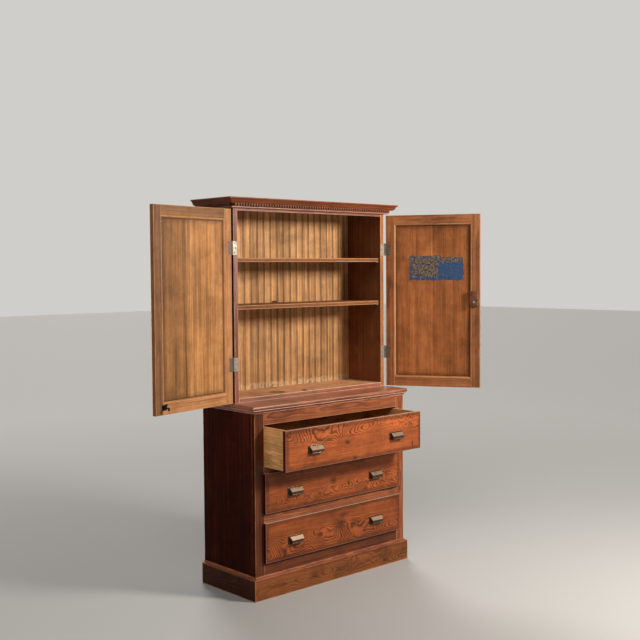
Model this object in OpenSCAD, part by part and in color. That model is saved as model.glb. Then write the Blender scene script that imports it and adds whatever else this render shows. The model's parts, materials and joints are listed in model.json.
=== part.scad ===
// Store cabinet in stained pine: a chest of drawers below, a shelved case with a pair of
// doors above, and a dentilled cornice.
// Frame: +Z up, +Y to the back, +X to the right. The origin is on the floor, at the middle
// of the base. The doors and the top drawer stand open, as in use.

/* [Chest] */
// Width of the chest body
chest_w = 1067; // [950:1:1200]
// Depth of the chest body, from face frame to back
chest_d = 427; // [380:1:500]
// Floor to the underside of the waist moulding
chest_h = 930; // [915:1:980]
// Thickness of a side board
chest_side_t = 23; // [18:0.5:28]
// Thickness of the back boards
chest_back_t = 12; // [8:0.5:16]
// Number of back boards
chest_back_n = 5; // [3:2:9]
// Underside of the bottom board above the floor
chest_floor_z = 60; // [40:1:100]
// Thickness of the bottom board
chest_floor_t = 18; // [14:0.5:24]
// Distance of the side boards' glue joint behind the chest front
side_seam = 115; // [60:1:200]
// Width across the vee at a glue joint
seam_w = 2.4; // [1:0.2:4]
// Thickness of the bearer under the bottom board
bearer_t = 22; // [18:1:40]
// Hairline at a joint between two boards
hairline = 0.2; // [0.1:0.05:0.3]

/* [Face frame] */
// Thickness of the face frame
frame_t = 22; // [18:0.5:26]
// Width of a stile
stile_w = 58.5; // [50:0.5:70]
// Top rail below the waist moulding
top_rail_h = 60; // [40:1:80]
// Rail between the top and middle drawers
upper_rail_h = 31; // [25:1:40]
// Rail between the middle and bottom drawers
lower_rail_h = 47; // [25:1:52]
// Top of the bottom rail above the floor
bottom_rail_top = 182; // [140:1:220]
// Length of a rail's tenon
tenon_l = 25; // [15:1:35]
// Thickness of a rail's tenon
tenon_t = 8; // [6:0.5:10]
// Shoulder above and below a tenon
tenon_shoulder = 4; // [2:0.5:7]
// Play all round a tenon in its mortise
joint_play = 0.2; // [0.1:0.05:0.4]

/* [Plinth] */
// Height of the plain part
plinth_h = 99; // [80:1:120]
// Thickness of the boards, which stand outside the body
plinth_out = 17; // [15:0.5:22]
// Diameter of the bead along the top
plinth_bead_d = 9; // [6:0.5:11]
// Radius of the cove above the bead
plinth_cove_r = 10; // [6:0.5:11]

/* [Drawers] */
// Gap above a drawer front in its opening
front_head_gap = 1; // [0.5:0.5:6]
// Further room above the top drawer
top_room = 7; // [0:0.5:10]
// Thickness of a drawer front
front_t = 20; // [16:0.5:24]
// Lap of a front over each stile
front_lap = 8.5; // [4:0.5:14]
// Drop of a front below its opening
front_drop = 2; // [0:0.5:4]
// Gap between a closed front and the face frame
front_gap = 0.3; // [0.2:0.1:1]
// Gap above a drawer box in its opening
box_head_gap = 1.7; // [1.5:0.1:12]
// Thickness of a box side or back
box_t = 12; // [9:0.5:16]
// Thickness of a drawer bottom
box_bottom_t = 6; // [4:0.5:8]
// Lower edge of a box side to the underside of the bottom
box_bottom_up = 10; // [6:0.5:16]
// Depth of the groove that holds the bottom
box_groove = 6; // [3:0.5:8]
// Drop of the box back below the sides
box_back_drop = 12; // [0:1:30]
// Space behind a closed box
box_rear_gap = 30; // [10:1:60]
// Play on each side of a box
side_clear = 2; // [1:0.5:4]
// Play between a box and its runners
slide_gap = 0.3; // [0.2:0.1:0.6]
// Height of a runner
runner_h = 20; // [14:1:22]
// Reach of a runner past the inside of a box side
runner_lap = 6; // [2:1:20]
// Height of a side guide
guide_h = 30; // [15:1:60]

/* [Pulls] */
// Width of the back flange
pull_w = 100; // [80:1:120]
// Height of the back flange
pull_h = 44; // [38:1:54]
// Corner radius of the flange
pull_corner = 4; // [2:0.5:8]
// Width of the hood at the flange
hood_w = 88; // [70:1:94]
// Slant of each end of the hood, from flange to front
hood_taper = 5; // [0:0.5:10]
// Height of the hood
hood_h = 35; // [28:1:36]
// Reach of the hood from the drawer front
hood_d = 22; // [18:0.5:30]
// Height of the hood's upright front
hood_front_h = 18; // [12:0.5:22]
// Depth of the hood's flat top behind its slope
hood_top_d = 8; // [5:0.5:10]
// Wall of the pull
pull_wall = 2; // [1.6:0.1:3]
// Border round the sunk face of the hood
pull_border = 4; // [2.5:0.1:6]
// Depth of the sunk face
pull_sink = 0.7; // [0.3:0.1:1]
// Width of the rim round the flange
rim_w = 2.4; // [1.5:0.1:3]
// Height of the rim above the flange
rim_h = 1; // [0.5:0.1:1.5]
// Distance between a drawer's two pulls
pull_spacing = 578; // [400:1:700]
// Drop of a pull below the middle of its front
pull_drop = 10; // [0:1:30]

/* [Waist] */
// Height of the cove under the ledge
cove_h = 18; // [14:0.5:24]
// Reach of the cove at its top
cove_out = 13; // [11:0.5:17]
// Thickness of the cove moulding at its foot
cove_foot = 3; // [2:0.5:5]
// Thickness of the ledge board
ledge_t = 21; // [16:0.5:26]
// Overhang of the ledge at the front and sides
ledge_out = 19; // [18:0.5:30]

/* [Upper case] */
// Overhang of the case past each side of the chest
case_over = 2.5; // [0:0.5:8]
// Set-back of the case behind the chest front
setback = 149; // [100:1:180]
// Height of the case above the ledge
case_h = 1016; // [960:1:1100]
// Thickness of a case side
case_side_t = 25; // [24:0.5:30]
// Thickness of the case bottom
case_floor_t = 23; // [18:0.5:28]
// Thickness of the case top
case_top_t = 20; // [14:0.5:26]
// Height of the frieze rail
frieze_h = 51; // [48:1:70]
// Thickness of the frieze rail
frieze_t = 22; // [16:0.5:26]
// Thickness of the beaded back boards
case_back_t = 12; // [10:0.5:16]
// Width of a back board, before it is fitted to the case
back_board_w = 92; // [70:1:120]
// Part of the first back board left at the case's left side
back_start = 20; // [12:1:40]
// Middle of the notch in the back boards, to the right of the case's middle
notch_x = -54.5; // [-200:0.5:200]
// Width of the notch
notch_w = 33; // [10:1:60]
// Height of the notch above the lower shelf
notch_h = 8; // [4:0.5:20]
// Diameter of the beads on the back boards
back_bead_d = 8; // [6:0.5:9]
// Width of the quirk beside a bead
quirk_w = 1.6; // [1:0.1:3]
// Length of a back board's tongue
tongue_l = 4; // [3:0.5:6]
// Thickness of a back board's tongue
tongue_t = 3; // [2:0.5:4]

/* [Cornice] */
// Rise of the crown above the case
crown_rise = 13; // [6:0.5:16]
// Height of the crown moulding
crown_h = 30; // [28:0.5:36]
// Height of the crown's top fillet
crown_fillet_h = 8; // [5:0.5:10]
// Height of the small step under the curve
crown_step_h = 2; // [1:0.5:4]
// Reach of the crown at its foot
crown_foot_out = 41; // [38:0.5:46]
// Reach of the crown's curve at its top
crown_curve_out = 57; // [50:0.5:58]
// Reach of the crown
crown_out = 60; // [58.5:0.5:70]
// Height of the dentils
dentil_h = 12; // [9:0.5:14]
// Reach of the dentils
dentil_out = 36; // [28:0.5:37]
// Width of a dentil
dentil_w = 9; // [6:0.5:11]
// Distance from dentil to dentil
dentil_pitch = 17; // [14:0.5:24]
// Height of the bed bead under the dentils
bed_h = 9; // [7:0.5:10]
// Reach of the strip behind dentils and bead
bed_out = 18; // [14:0.5:22]

/* [Shelves] */
// Thickness of a shelf
shelf_t = 20; // [16:0.5:26]
// Set-back of a shelf's front edge
shelf_setback = 15; // [5:0.5:40]
// Play at each end of a shelf
shelf_play = 1; // [0.5:0.1:3]
// Lowest peg hole above the ledge
first_hole = 147; // [100:1:200]
// Distance from hole to hole
hole_pitch = 40; // [30:0.5:42]
// Number of holes in a column
hole_count = 20; // [16:1:20]
// Hole that the lower shelf hangs from
lower_shelf_hole_n = 8; // [2:1:10]
// Hole that the upper shelf hangs from
upper_shelf_hole_n = 14; // [11:1:15]
// Depth of a peg hole
hole_depth = 12; // [8:0.5:15]
// Front column of holes behind the case front
hole_front = 20; // [19:0.5:40]
// Rear column of holes before the back boards
hole_rear = 30; // [15:0.5:60]
// Radius of a shelf peg
peg_r = 3.4; // [2.5:0.1:5]
// Play of a peg in its hole
peg_play = 0.1; // [0.05:0.05:0.3]
// Reach of a peg under the shelf
peg_reach = 13; // [6:0.5:20]
// Flat on a peg above its axis
peg_flat = 2; // [1:0.1:2.2]

/* [Doors] */
// Thickness of a door
door_t = 22; // [20:0.5:26]
// Width of a door stile
door_stile_w = 49; // [40:0.5:60]
// Height of a door's top rail
door_top_rail_h = 52; // [40:0.5:70]
// Height of a door's bottom rail
door_bottom_rail_h = 54; // [52:0.5:80]
// Thickness of a door panel
door_panel_t = 8; // [6:0.5:9]
// Depth of the panel behind the inner face of the frame
door_recess = 8; // [7.5:0.5:9]
// Radius of the quarter-round bead round the panel
door_bead_r = 7; // [4:0.5:7.5]
// Depth of the groove that holds the panel
door_groove = 8; // [5:0.5:10]
// Play at the edges of a panel in its grooves
panel_play = 1; // [0.5:0.1:2]
// First glue joint of the left panel from the door's hinge edge
left_joint_near = 151; // [70:1:200]
// Second glue joint of the left panel from the door's hinge edge
left_joint_far = 318; // [220:1:400]
// Chamfer along the outer arris of the frame
door_chamfer = 4; // [2:0.5:5]
// Gap between a closed door and the case
door_gap = 1; // [0.8:0.1:2]
// Gap between the two closed doors
meeting_gap = 3; // [2:0.5:6]
// Gap between the doors and the ledge
door_foot_gap = 3; // [2:0.5:6]
// Lap of the doors over the frieze rail
door_head_lap = 6; // [3:0.5:8]

/* [Hinges] */
// Height of a hinge
leaf_h = 68; // [50:1:90]
// Width of a leaf on the wood
leaf_on_wood = 22; // [16:0.5:23]
// Thickness of a leaf
leaf_t = 1.8; // [1.4:0.1:2.4]
// Gap between closed leaves
leaf_slit = 0.2; // [0.1:0.05:0.4]
// Hinge axis outside the case
hinge_out = 7.5; // [6:0.5:10]
// Radius of the knuckles
barrel_r = 4; // [3:0.1:5]
// Number of knuckles
knuckle_n = 5; // [3:2:7]
// Gap between neighbouring knuckles
knuckle_gap = 0.3; // [0.2:0.05:0.5]
// Radius of the hinge pin
hinge_pin_r = 1.6; // [1.2:0.1:2]
// Play of a pin in its bore
pin_play = 0.05; // [0.02:0.01:0.1]
// Height of the pin's head
pin_head_h = 2; // [1:0.5:4]
// Distance of a hinge from the end of its door
hinge_from_end = 193; // [120:1:260]

/* [Elbow catch] */
// Distance of the catch from the left door's free edge
catch_in = 52; // [40:1:90]
// Height of the catch's pivot above the case bottom
catch_up = 14; // [13.5:0.5:20]
// Pivot in front of the door's inner face
catch_pivot_out = 8; // [7:0.5:10]
// Width of the bracket plate
catch_plate_w = 30; // [24:1:60]
// Height of the bracket plate
catch_plate_h = 25; // [18:0.5:26]
// Thickness of bracket and strike
catch_t = 2; // [1.5:0.1:3]
// Radius of the catch's pin
catch_pin_r = 1.5; // [1:0.1:2]
// Play between the lever and the bracket's ears
catch_play = 0.3; // [0.2:0.05:0.5]
// Width of the lever
lever_w = 9; // [6:0.5:14]
// Radius of the lever's boss and of the bracket's ears
lever_boss_r = 4.5; // [3.5:0.1:5]
// Reach of the lever from its pivot
lever_l = 24; // [18:0.5:30]
// Thickness of the lever's arm
lever_t = 5; // [3:0.5:6]
// Drop of the hook below the pivot
hook_drop = 12; // [10:0.5:12.5]
// Length of the thumb tail
tail_l = 20; // [12:0.5:26]
// Lean of the thumb tail away from the door
tail_lean = 28; // [24:1:40]
// Height of the strike's lip
strike_h = 8.5; // [6:0.5:9]
// Width of the strike
strike_w = 24; // [14:1:40]
// Gap between hook and strike
hook_gap = 1.5; // [0.5:0.1:3]

/* [Lock] */
// Width of the lock case
lock_w = 47; // [44:1:60]
// Height of the lock case
lock_h = 86; // [60:1:100]
// Thickness of the lock case
lock_t = 11; // [10.5:0.5:12]
// Middle of the lock from the right door's free edge
lock_in = 32.5; // [30:0.5:44]
// Middle of the lock above the foot of the door
lock_up = 497; // [400:1:560]
// Chamfer round the face of the lock case
lock_chamfer = 2; // [1:0.5:3]
// Length of the bolt
bolt_l = 38; // [30:0.5:40]
// Height of the bolt
bolt_h = 16; // [10:0.5:20]
// Thickness of the bolt
bolt_t = 6; // [4:0.5:7]
// Play round the bolt
bolt_play = 0.3; // [0.2:0.05:0.5]
// Bolt above the middle of the lock
bolt_up = 14; // [0:1:20]
// Floor of the lock case under the bolt
lock_floor = 2; // [1.5:0.1:3]
// Radius of the key post's boss
boss_r = 6; // [4:0.5:9]
// Height of the key post's boss
boss_h = 2; // [1:0.5:3]
// Key post below the middle of the lock
key_down = 19; // [5:1:24]
// Radius of the keyhole's round
keyhole_r = 4; // [3:0.1:5]
// Width of the keyhole's slot
keyhole_slot_w = 3.4; // [2:0.1:5]
// Length of the keyhole's slot
keyhole_slot_l = 12; // [8:0.5:16]

/* [Pose] */
// Angle of the left door from closed
left_open_deg = 168.2; // [0:0.1:178]
// Angle of the right door from closed
right_open_deg = 120.4; // [0:0.1:175]
// Opening of the top drawer
top_drawer_open = 156; // [0:1:260]

/* [Hidden] */
$fn = 48;

// How far a cutter runs past the face that it opens
over = 1;
// Points along the crown's curve
curve_n = 16;
LEFT = -1;
RIGHT = 1;

STAINED = "#7a3a1c";
STAINED_DARK = "#5c2a17";
BARE = "#b98a52";
BEADED = "#c08f4e";
BRONZE = "#4a3f33";
IRON = "#2b2826";
STEEL = "#9a948b";
RUSTED = "#6e4630";

// Chest planes and levels
chest_x = chest_w / 2;
chest_y0 = -(chest_d - plinth_out) / 2;
back_y = chest_y0 + chest_d;
frame_y1 = chest_y0 + frame_t;
chest_back_y = back_y - chest_back_t;
inner_x = chest_x - chest_side_t;
opening_x = chest_x - stile_w;
ledge_z0 = chest_h + cove_h;
ledge_z1 = ledge_z0 + ledge_t;
plinth_top = plinth_h + plinth_bead_d + plinth_cove_r;

// Three drawer openings, from the top one down, and the rails between them
rails_h = top_rail_h + upper_rail_h + lower_rail_h + bottom_rail_top;
opening_h = (chest_h - rails_h - top_room) / 3;
opening_feet = [
    bottom_rail_top + 2 * opening_h + lower_rail_h + upper_rail_h,
    bottom_rail_top + opening_h + lower_rail_h,
    bottom_rail_top
];
opening_tops = [chest_h - top_rail_h, opening_feet[1] + opening_h, opening_feet[2] + opening_h];
RAIL_TOP = [opening_tops[0], ledge_z0];
RAIL_UPPER = [opening_tops[1], opening_feet[0]];
RAIL_LOWER = [opening_tops[2], opening_feet[1]];
RAIL_BOTTOM = [chest_floor_z, opening_feet[2]];
RAILS = [RAIL_TOP, RAIL_UPPER, RAIL_LOWER, RAIL_BOTTOM];
drawer_open = [top_drawer_open, 0, 0];

// Drawer fronts and boxes
front_h = opening_h + front_drop - front_head_gap;
box_h = opening_h - slide_gap - box_head_gap;
box_x = opening_x - side_clear;
front_y1 = chest_y0 - front_gap;
front_y0 = front_y1 - front_t;
box_y1 = chest_back_y - box_rear_gap;
runner_x = box_x - box_t - runner_lap;

// Upper case planes and levels
case_w = chest_w + 2 * case_over;
case_x = case_w / 2;
case_in = case_x - case_side_t;
case_y0 = chest_y0 + setback;
case_back_y = back_y - case_back_t;
case_z0 = ledge_z1;
case_z1 = case_z0 + case_h;
case_floor = case_z0 + case_floor_t;
frieze_z0 = case_z1 - frieze_h;
crown_z1 = case_z1 + crown_rise;
crown_z0 = crown_z1 - crown_h;
dentil_z0 = crown_z0 - dentil_h;
bed_z0 = dentil_z0 - bed_h;
lower_peg_z = case_z0 + first_hole + lower_shelf_hole_n * hole_pitch;
upper_peg_z = case_z0 + first_hole + upper_shelf_hole_n * hole_pitch;
hole_rows = [case_y0 + hole_front, case_back_y - hole_rear];

// Doors, closed, drawn for the left one
door_y1 = case_y0 - door_gap;
door_y0 = door_y1 - door_t;
door_z0 = ledge_z1 + door_foot_gap;
door_z1 = frieze_z0 + door_head_lap;
door_hinge_x = -case_x;
door_free_x = -meeting_gap / 2;
sight_x0 = door_hinge_x + door_stile_w;
sight_x1 = door_free_x - door_stile_w;
sight_z0 = door_z0 + door_bottom_rail_h;
sight_z1 = door_z1 - door_top_rail_h;
panel_y1 = door_y1 - door_recess;
panel_y0 = panel_y1 - door_panel_t;

// Hinge axis and heights
hinge_x = case_x + hinge_out;
hinge_y = case_y0 - door_gap / 2;
hinge_zs = [door_z0 + hinge_from_end, door_z1 - hinge_from_end];
leaf_reach = hinge_out + leaf_on_wood;
knuckle_h = leaf_h / knuckle_n;

// Elbow catch on the left door
catch_x = door_free_x - catch_in;
catch_y = door_y1 + catch_pivot_out;
catch_z = case_floor + catch_up;
hook_y0 = catch_y + lever_l - lever_t;

// Lock on the right door, drawn as on the left one
lock_x = door_free_x - lock_in;
lock_z = door_z0 + lock_up;
lock_edge_x = lock_x + lock_w / 2;
bolt_y0 = door_y1 + lock_floor + bolt_play;
bolt_z = lock_z + bolt_up;
key_z = lock_z - key_down;

// A block between two corners
module block(low, high) {
    translate(low)
        cube(high - low);
}

// A vee groove along Z, centred on a place in plan
module seam(x, y, z0, z1) {
    translate([x, y, z0])
        linear_extrude(z1 - z0)
            rotate(45)
                square(seam_w / sqrt(2), center = true);
}

// The given shape, or its mirror image on the right
module handed(side) {
    if (side == RIGHT) {
        mirror([1, 0, 0])
            children();
    } else {
        children();
    }
}

// A door piece swung to its opening about its hinge
module swung(side) {
    opening = side == LEFT ? left_open_deg : right_open_deg;
    translate([side * hinge_x, hinge_y, 0])
        rotate([0, 0, side * opening])
            translate([-side * hinge_x, -hinge_y, 0])
                handed(side)
                    children();
}

// A moulding of the given section, reach against height, along the front of a body,
// its mitres a hairline short
module front_run(w, y0, reach, z0, z1) {
    half_w = w / 2 - hairline;
    intersection() {
        translate([-w / 2 - reach, y0, 0])
            rotate([90, 0, 90])
                linear_extrude(w + 2 * reach)
                    mirror([1, 0])
                        children();
        translate([0, 0, z0])
            linear_extrude(z1 - z0)
                polygon([
                    [-half_w, y0], [half_w, y0],
                    [half_w + reach, y0 - reach], [-half_w - reach, y0 - reach]
                ]);
    }
}

// The same moulding returned along one side of the body
module side_run(side, w, y0, y1, reach, z0, z1) {
    mirror([side == LEFT ? 1 : 0, 0, 0])
        intersection() {
            translate([w / 2, y1, 0])
                rotate([90, 0, 0])
                    linear_extrude(y1 - y0 + reach)
                        children();
            translate([0, 0, z0])
                linear_extrude(z1 - z0)
                    polygon([
                        [w / 2, y0], [w / 2, y1],
                        [w / 2 + reach, y1], [w / 2 + reach, y0 - reach]
                    ]);
        }
}

// A mitred moulding round the front and both sides
module wrapped_run(w, y0, y1, reach, z0, z1) {
    front_run(w, y0, reach, z0, z1)
        children();
    for (side = [LEFT, RIGHT])
        side_run(side, w, y0, y1, reach, z0, z1)
            children();
}

// Sections of the mouldings, reach against height

module plinth_section() {
    bead_r = plinth_bead_d / 2;
    cove_x = plinth_out - bead_r;
    square([plinth_out, plinth_h]);
    translate([0, plinth_h])
        square([plinth_out - bead_r, plinth_bead_d]);
    translate([plinth_out - bead_r, plinth_h + bead_r])
        circle(bead_r);
    difference() {
        translate([0, plinth_h + plinth_bead_d])
            square([cove_x, plinth_cove_r]);
        translate([cove_x, plinth_top])
            circle(plinth_cove_r);
    }
}

module cove_section() {
    cove_r = cove_out - cove_foot;
    difference() {
        translate([0, chest_h])
            square([cove_out, cove_h]);
        translate([cove_foot, chest_h - over])
            square([cove_out, cove_foot + over]);
        translate([cove_out, chest_h + cove_foot])
            circle(cove_r);
    }
}

module bed_section() {
    translate([0, bed_z0])
        square([bed_out, bed_h + dentil_h]);
    translate([bed_out, bed_z0 + bed_h / 2])
        circle(bed_h / 2);
}

module crown_section() {
    curve_h = crown_h - crown_fillet_h - crown_step_h;
    curve = [
        for (i = [0:curve_n]) [
            crown_foot_out + (crown_curve_out - crown_foot_out) * i / curve_n,
            crown_z0 + crown_step_h + curve_h * (1 - cos(180 * i / curve_n)) / 2
        ]
    ];
    polygon(concat(
        [[0, crown_z0], [crown_foot_out, crown_z0]],
        curve,
        [[crown_out, crown_z1 - crown_fillet_h], [crown_out, crown_z1], [0, crown_z1]]
    ));
}

// Base and chest

module plinth_boards() {
    color(STAINED_DARK)
        wrapped_run(chest_w, chest_y0, back_y, plinth_out, 0, plinth_top)
            plinth_section();
}

module chest_side(side) {
    color(STAINED_DARK)
        handed(side)
            difference() {
                block([-chest_x, frame_y1, 0], [-inner_x, back_y, ledge_z0]);
                seam(-chest_x, chest_y0 + side_seam, -over, ledge_z0 + over);
            }
}

module chest_back_boards() {
    board_w = 2 * inner_x / chest_back_n;
    color(STAINED_DARK)
        for (i = [0:chest_back_n - 1])
            difference() {
                block(
                    [-inner_x + i * board_w + hairline / 2, chest_back_y, 0],
                    [-inner_x + (i + 1) * board_w - hairline / 2, back_y, ledge_z0]
                );
                for (edge = [i, i + 1])
                    seam(-inner_x + edge * board_w, back_y, -over, ledge_z0 + over);
            }
}

module chest_bottom() {
    color(BARE)
        block(
            [-inner_x, frame_y1, chest_floor_z],
            [inner_x, chest_back_y, chest_floor_z + chest_floor_t]
        );
}

module base_bearer() {
    color(BARE)
        block([-inner_x, -bearer_t / 2, 0], [inner_x, bearer_t / 2, chest_floor_z]);
}

// Face frame

module rail_tenons(rail, grow) {
    middle_y = chest_y0 + frame_t / 2;
    block(
        [
            -opening_x - tenon_l - grow,
            middle_y - tenon_t / 2 - grow,
            rail[0] + tenon_shoulder - grow
        ],
        [
            opening_x + tenon_l + grow,
            middle_y + tenon_t / 2 + grow,
            rail[1] - tenon_shoulder + grow
        ]
    );
}

module face_rail(rail) {
    color(STAINED) {
        block([-opening_x, chest_y0, rail[0]], [opening_x, frame_y1, rail[1]]);
        rail_tenons(rail, 0);
    }
}

module face_rails_between() {
    for (rail = [RAIL_UPPER, RAIL_LOWER])
        face_rail(rail);
}

module face_stile(side) {
    color(STAINED)
        handed(side)
            difference() {
                block([-chest_x, chest_y0, 0], [-opening_x, frame_y1, ledge_z0]);
                for (rail = RAILS)
                    rail_tenons(rail, joint_play);
            }
}

module drawer_runners() {
    color(BARE)
        for (side = [LEFT, RIGHT], foot = opening_feet)
            handed(side)
                block([-inner_x, frame_y1, foot - runner_h], [-runner_x, chest_back_y, foot]);
}

// Strips beside each drawer, and a kicker above the top one
module drawer_guides() {
    color(BARE)
        for (side = [LEFT, RIGHT])
            handed(side) {
                for (foot = opening_feet)
                    block([-inner_x, frame_y1, foot], [-opening_x, chest_back_y, foot + guide_h]);
                block(
                    [-inner_x, frame_y1, opening_tops[0]],
                    [-runner_x, chest_back_y, opening_tops[0] + runner_h]
                );
            }
}

// Waist

module ledge_board() {
    nose_r = ledge_t / 2;
    ledge_x = chest_x + ledge_out;
    ledge_y = chest_y0 - ledge_out;
    color(STAINED)
        intersection() {
            translate([-ledge_x, 0, ledge_z0])
                rotate([90, 0, 90])
                    linear_extrude(2 * ledge_x) {
                        translate([ledge_y + nose_r, 0])
                            square([back_y - ledge_y - nose_r, ledge_t]);
                        translate([ledge_y + nose_r, nose_r])
                            circle(nose_r);
                    }
            translate([0, back_y, ledge_z0])
                rotate([90, 0, 0])
                    linear_extrude(back_y - ledge_y) {
                        translate([-ledge_x + nose_r, 0])
                            square([2 * (ledge_x - nose_r), ledge_t]);
                        for (side = [LEFT, RIGHT])
                            translate([side * (ledge_x - nose_r), nose_r])
                                circle(nose_r);
                    }
        }
}

module waist_moulding() {
    color(STAINED)
        wrapped_run(chest_w, chest_y0, back_y, cove_out, chest_h, ledge_z0)
            cove_section();
}

// Upper case

module case_side(side) {
    color(STAINED)
        handed(side)
            difference() {
                block([-case_x, case_y0, case_z0], [-case_in, back_y, case_z1]);
                for (y = hole_rows, i = [0:hole_count - 1])
                    translate([-case_in - hole_depth, y, case_z0 + first_hole + i * hole_pitch])
                        rotate([0, 90, 0])
                            cylinder(h = hole_depth + over, r = peg_r + peg_play);
                for (z = hinge_zs)
                    block(
                        [-case_x - over, case_y0 - over, z - leaf_h / 2 - joint_play],
                        [
                            -case_x + leaf_on_wood + joint_play,
                            hinge_y + leaf_slit / 2 + leaf_t,
                            z + leaf_h / 2 + joint_play
                        ]
                    );
            }
}

module case_bottom() {
    color(BARE)
        block([-case_in, case_y0, case_z0], [case_in, case_back_y, case_floor]);
}

module case_top() {
    color(BARE)
        block([-case_in, case_y0 + frieze_t, case_z1 - case_top_t], [case_in, case_back_y, case_z1]);
}

module frieze_rail() {
    color(STAINED)
        block([-case_in, case_y0, frieze_z0], [case_in, case_y0 + frieze_t, case_z1]);
}

// One beaded board in plan, its face towards -Y
module back_board_section(w, has_tongue, has_groove) {
    bead_r = back_bead_d / 2;
    edge_bead = w - hairline - quirk_w - bead_r;
    tongue_y = bead_r + (case_back_t - bead_r - tongue_t) / 2;
    difference() {
        square([w - hairline, case_back_t]);
        for (x = [edge_bead - w / 2, edge_bead])
            translate([x - bead_r - quirk_w, -over])
                square([back_bead_d + 2 * quirk_w, bead_r + over]);
        if (has_groove)
            translate([-over, tongue_y - joint_play])
                square([tongue_l + joint_play + over, tongue_t + 2 * joint_play]);
    }
    for (x = [edge_bead - w / 2, edge_bead])
        translate([x, bead_r])
            circle(bead_r);
    if (has_tongue)
        translate([w - over, tongue_y])
            square([tongue_l + over, tongue_t]);
}

module case_back_boards() {
    board_n = round(2 * case_in / back_board_w);
    board_w = 2 * case_in / board_n;
    notch_z = lower_peg_z + peg_flat + shelf_t;
    color(BEADED)
        difference() {
            intersection() {
                for (i = [0:board_n])
                    translate([-case_in + back_start + (i - 1) * board_w, case_back_y, case_z0])
                        linear_extrude(case_h)
                            back_board_section(board_w, i < board_n, i > 0);
                block(
                    [-case_in, case_back_y - over, case_z0 - over],
                    [case_in, back_y + over, case_z1 + over]
                );
            }
            block(
                [notch_x - notch_w / 2, case_back_y - over, notch_z],
                [notch_x + notch_w / 2, back_y + over, notch_z + notch_h]
            );
        }
}

// Cornice

// A row of dentils in plan, centred along a strip of the given length
module dentil_row(l) {
    n = floor((l + dentil_pitch - dentil_w) / dentil_pitch);
    start = (l - (n - 1) * dentil_pitch - dentil_w) / 2;
    for (i = [0:n - 1])
        translate([start + i * dentil_pitch, 0])
            square([dentil_w, dentil_out - bed_out + over]);
}

// Bed bead and dentils, cut on the same three strips
module dentil_course() {
    front_l = case_w + 2 * (bed_out - 2 * over);
    side_l = back_y - case_y0 + bed_out - (dentil_pitch - dentil_w);
    reach = bed_out + bed_h / 2;
    color(STAINED) {
        union() {
            front_run(case_w, case_y0, reach, bed_z0, crown_z0)
                bed_section();
            translate([-front_l / 2, case_y0 - dentil_out, dentil_z0])
                linear_extrude(dentil_h)
                    dentil_row(front_l);
        }
        for (side = [LEFT, RIGHT])
            union() {
                side_run(side, case_w, case_y0, back_y, reach, bed_z0, crown_z0)
                    bed_section();
                handed(side)
                    translate([-case_x - dentil_out, back_y, dentil_z0])
                        rotate([0, 0, -90])
                            linear_extrude(dentil_h)
                                dentil_row(side_l);
            }
    }
}

module crown_moulding() {
    color(STAINED)
        wrapped_run(case_w, case_y0, back_y, crown_out, crown_z0, crown_z1)
            crown_section();
}

// Shelves

module shelf(peg_z) {
    z0 = peg_z + peg_flat;
    color(BARE)
        block(
            [-case_in + shelf_play, case_y0 + shelf_setback, z0],
            [case_in - shelf_play, case_back_y - shelf_play, z0 + shelf_t]
        );
}

module shelf_pegs() {
    pin_l = hole_depth - shelf_play;
    color(STEEL)
        for (side = [LEFT, RIGHT], y = hole_rows, z = [lower_peg_z, upper_peg_z])
            handed(side)
                translate([-case_in, y, z])
                    difference() {
                        translate([-pin_l, 0, 0])
                            rotate([0, 90, 0])
                                cylinder(h = pin_l + peg_reach, r = peg_r);
                        block([0, -peg_r - over, peg_flat], [peg_reach + over, peg_r + over, peg_r + over]);
                    }
}

// Hinges, drawn on the left with the axis at the origin

// Knuckle stations of one leaf: even ones on the case, odd ones on the door
function knuckles(first) = [for (k = [first:2:knuckle_n - 1]) -leaf_h / 2 + k * knuckle_h];

module leaf(first) {
    plate_y = first == 0 ? leaf_slit / 2 : -leaf_slit / 2 - leaf_t;
    difference() {
        union() {
            translate([0, plate_y, -leaf_h / 2])
                cube([leaf_reach, leaf_t, leaf_h]);
            for (z = knuckles(first))
                translate([0, 0, z + knuckle_gap / 2])
                    cylinder(h = knuckle_h - knuckle_gap, r = barrel_r);
        }
        translate([0, 0, -leaf_h / 2 - over])
            cylinder(h = leaf_h + 2 * over, r = hinge_pin_r + pin_play);
        for (z = knuckles(1 - first))
            translate([0, 0, z - knuckle_gap / 2])
                cylinder(h = knuckle_h + knuckle_gap, r = barrel_r + knuckle_gap);
    }
}

module hinge_case_leaves() {
    color(STEEL)
        for (side = [LEFT, RIGHT], z = hinge_zs)
            handed(side)
                translate([-hinge_x, hinge_y, z])
                    leaf(0);
}

module hinge_pins() {
    color(STEEL)
        for (side = [LEFT, RIGHT], z = hinge_zs)
            translate([side * hinge_x, hinge_y, z]) {
                translate([0, 0, -leaf_h / 2])
                    cylinder(h = leaf_h, r = hinge_pin_r);
                translate([0, 0, leaf_h / 2])
                    cylinder(h = pin_head_h, r = barrel_r);
            }
}

module door_hinge_leaves(side) {
    color(STEEL)
        swung(side)
            for (z = hinge_zs)
                translate([-hinge_x, hinge_y, z])
                    leaf(1);
}

// Doors, drawn closed on the left

// The panel, grown by the play of its grooves when it cuts them
module panel_block(grow) {
    edge = door_groove - panel_play + grow;
    block(
        [sight_x0 - edge, panel_y0, sight_z0 - edge],
        [sight_x1 + edge, panel_y1, sight_z1 + edge]
    );
}

// The tenons of one rail, in line with the panel's groove
module door_tenons(z0, z1, grow) {
    block(
        [sight_x0 - tenon_l - grow, panel_y0 - grow, z0 + door_groove - grow],
        [sight_x1 + tenon_l + grow, panel_y1 + grow, z1 - door_groove + grow]
    );
}

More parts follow.
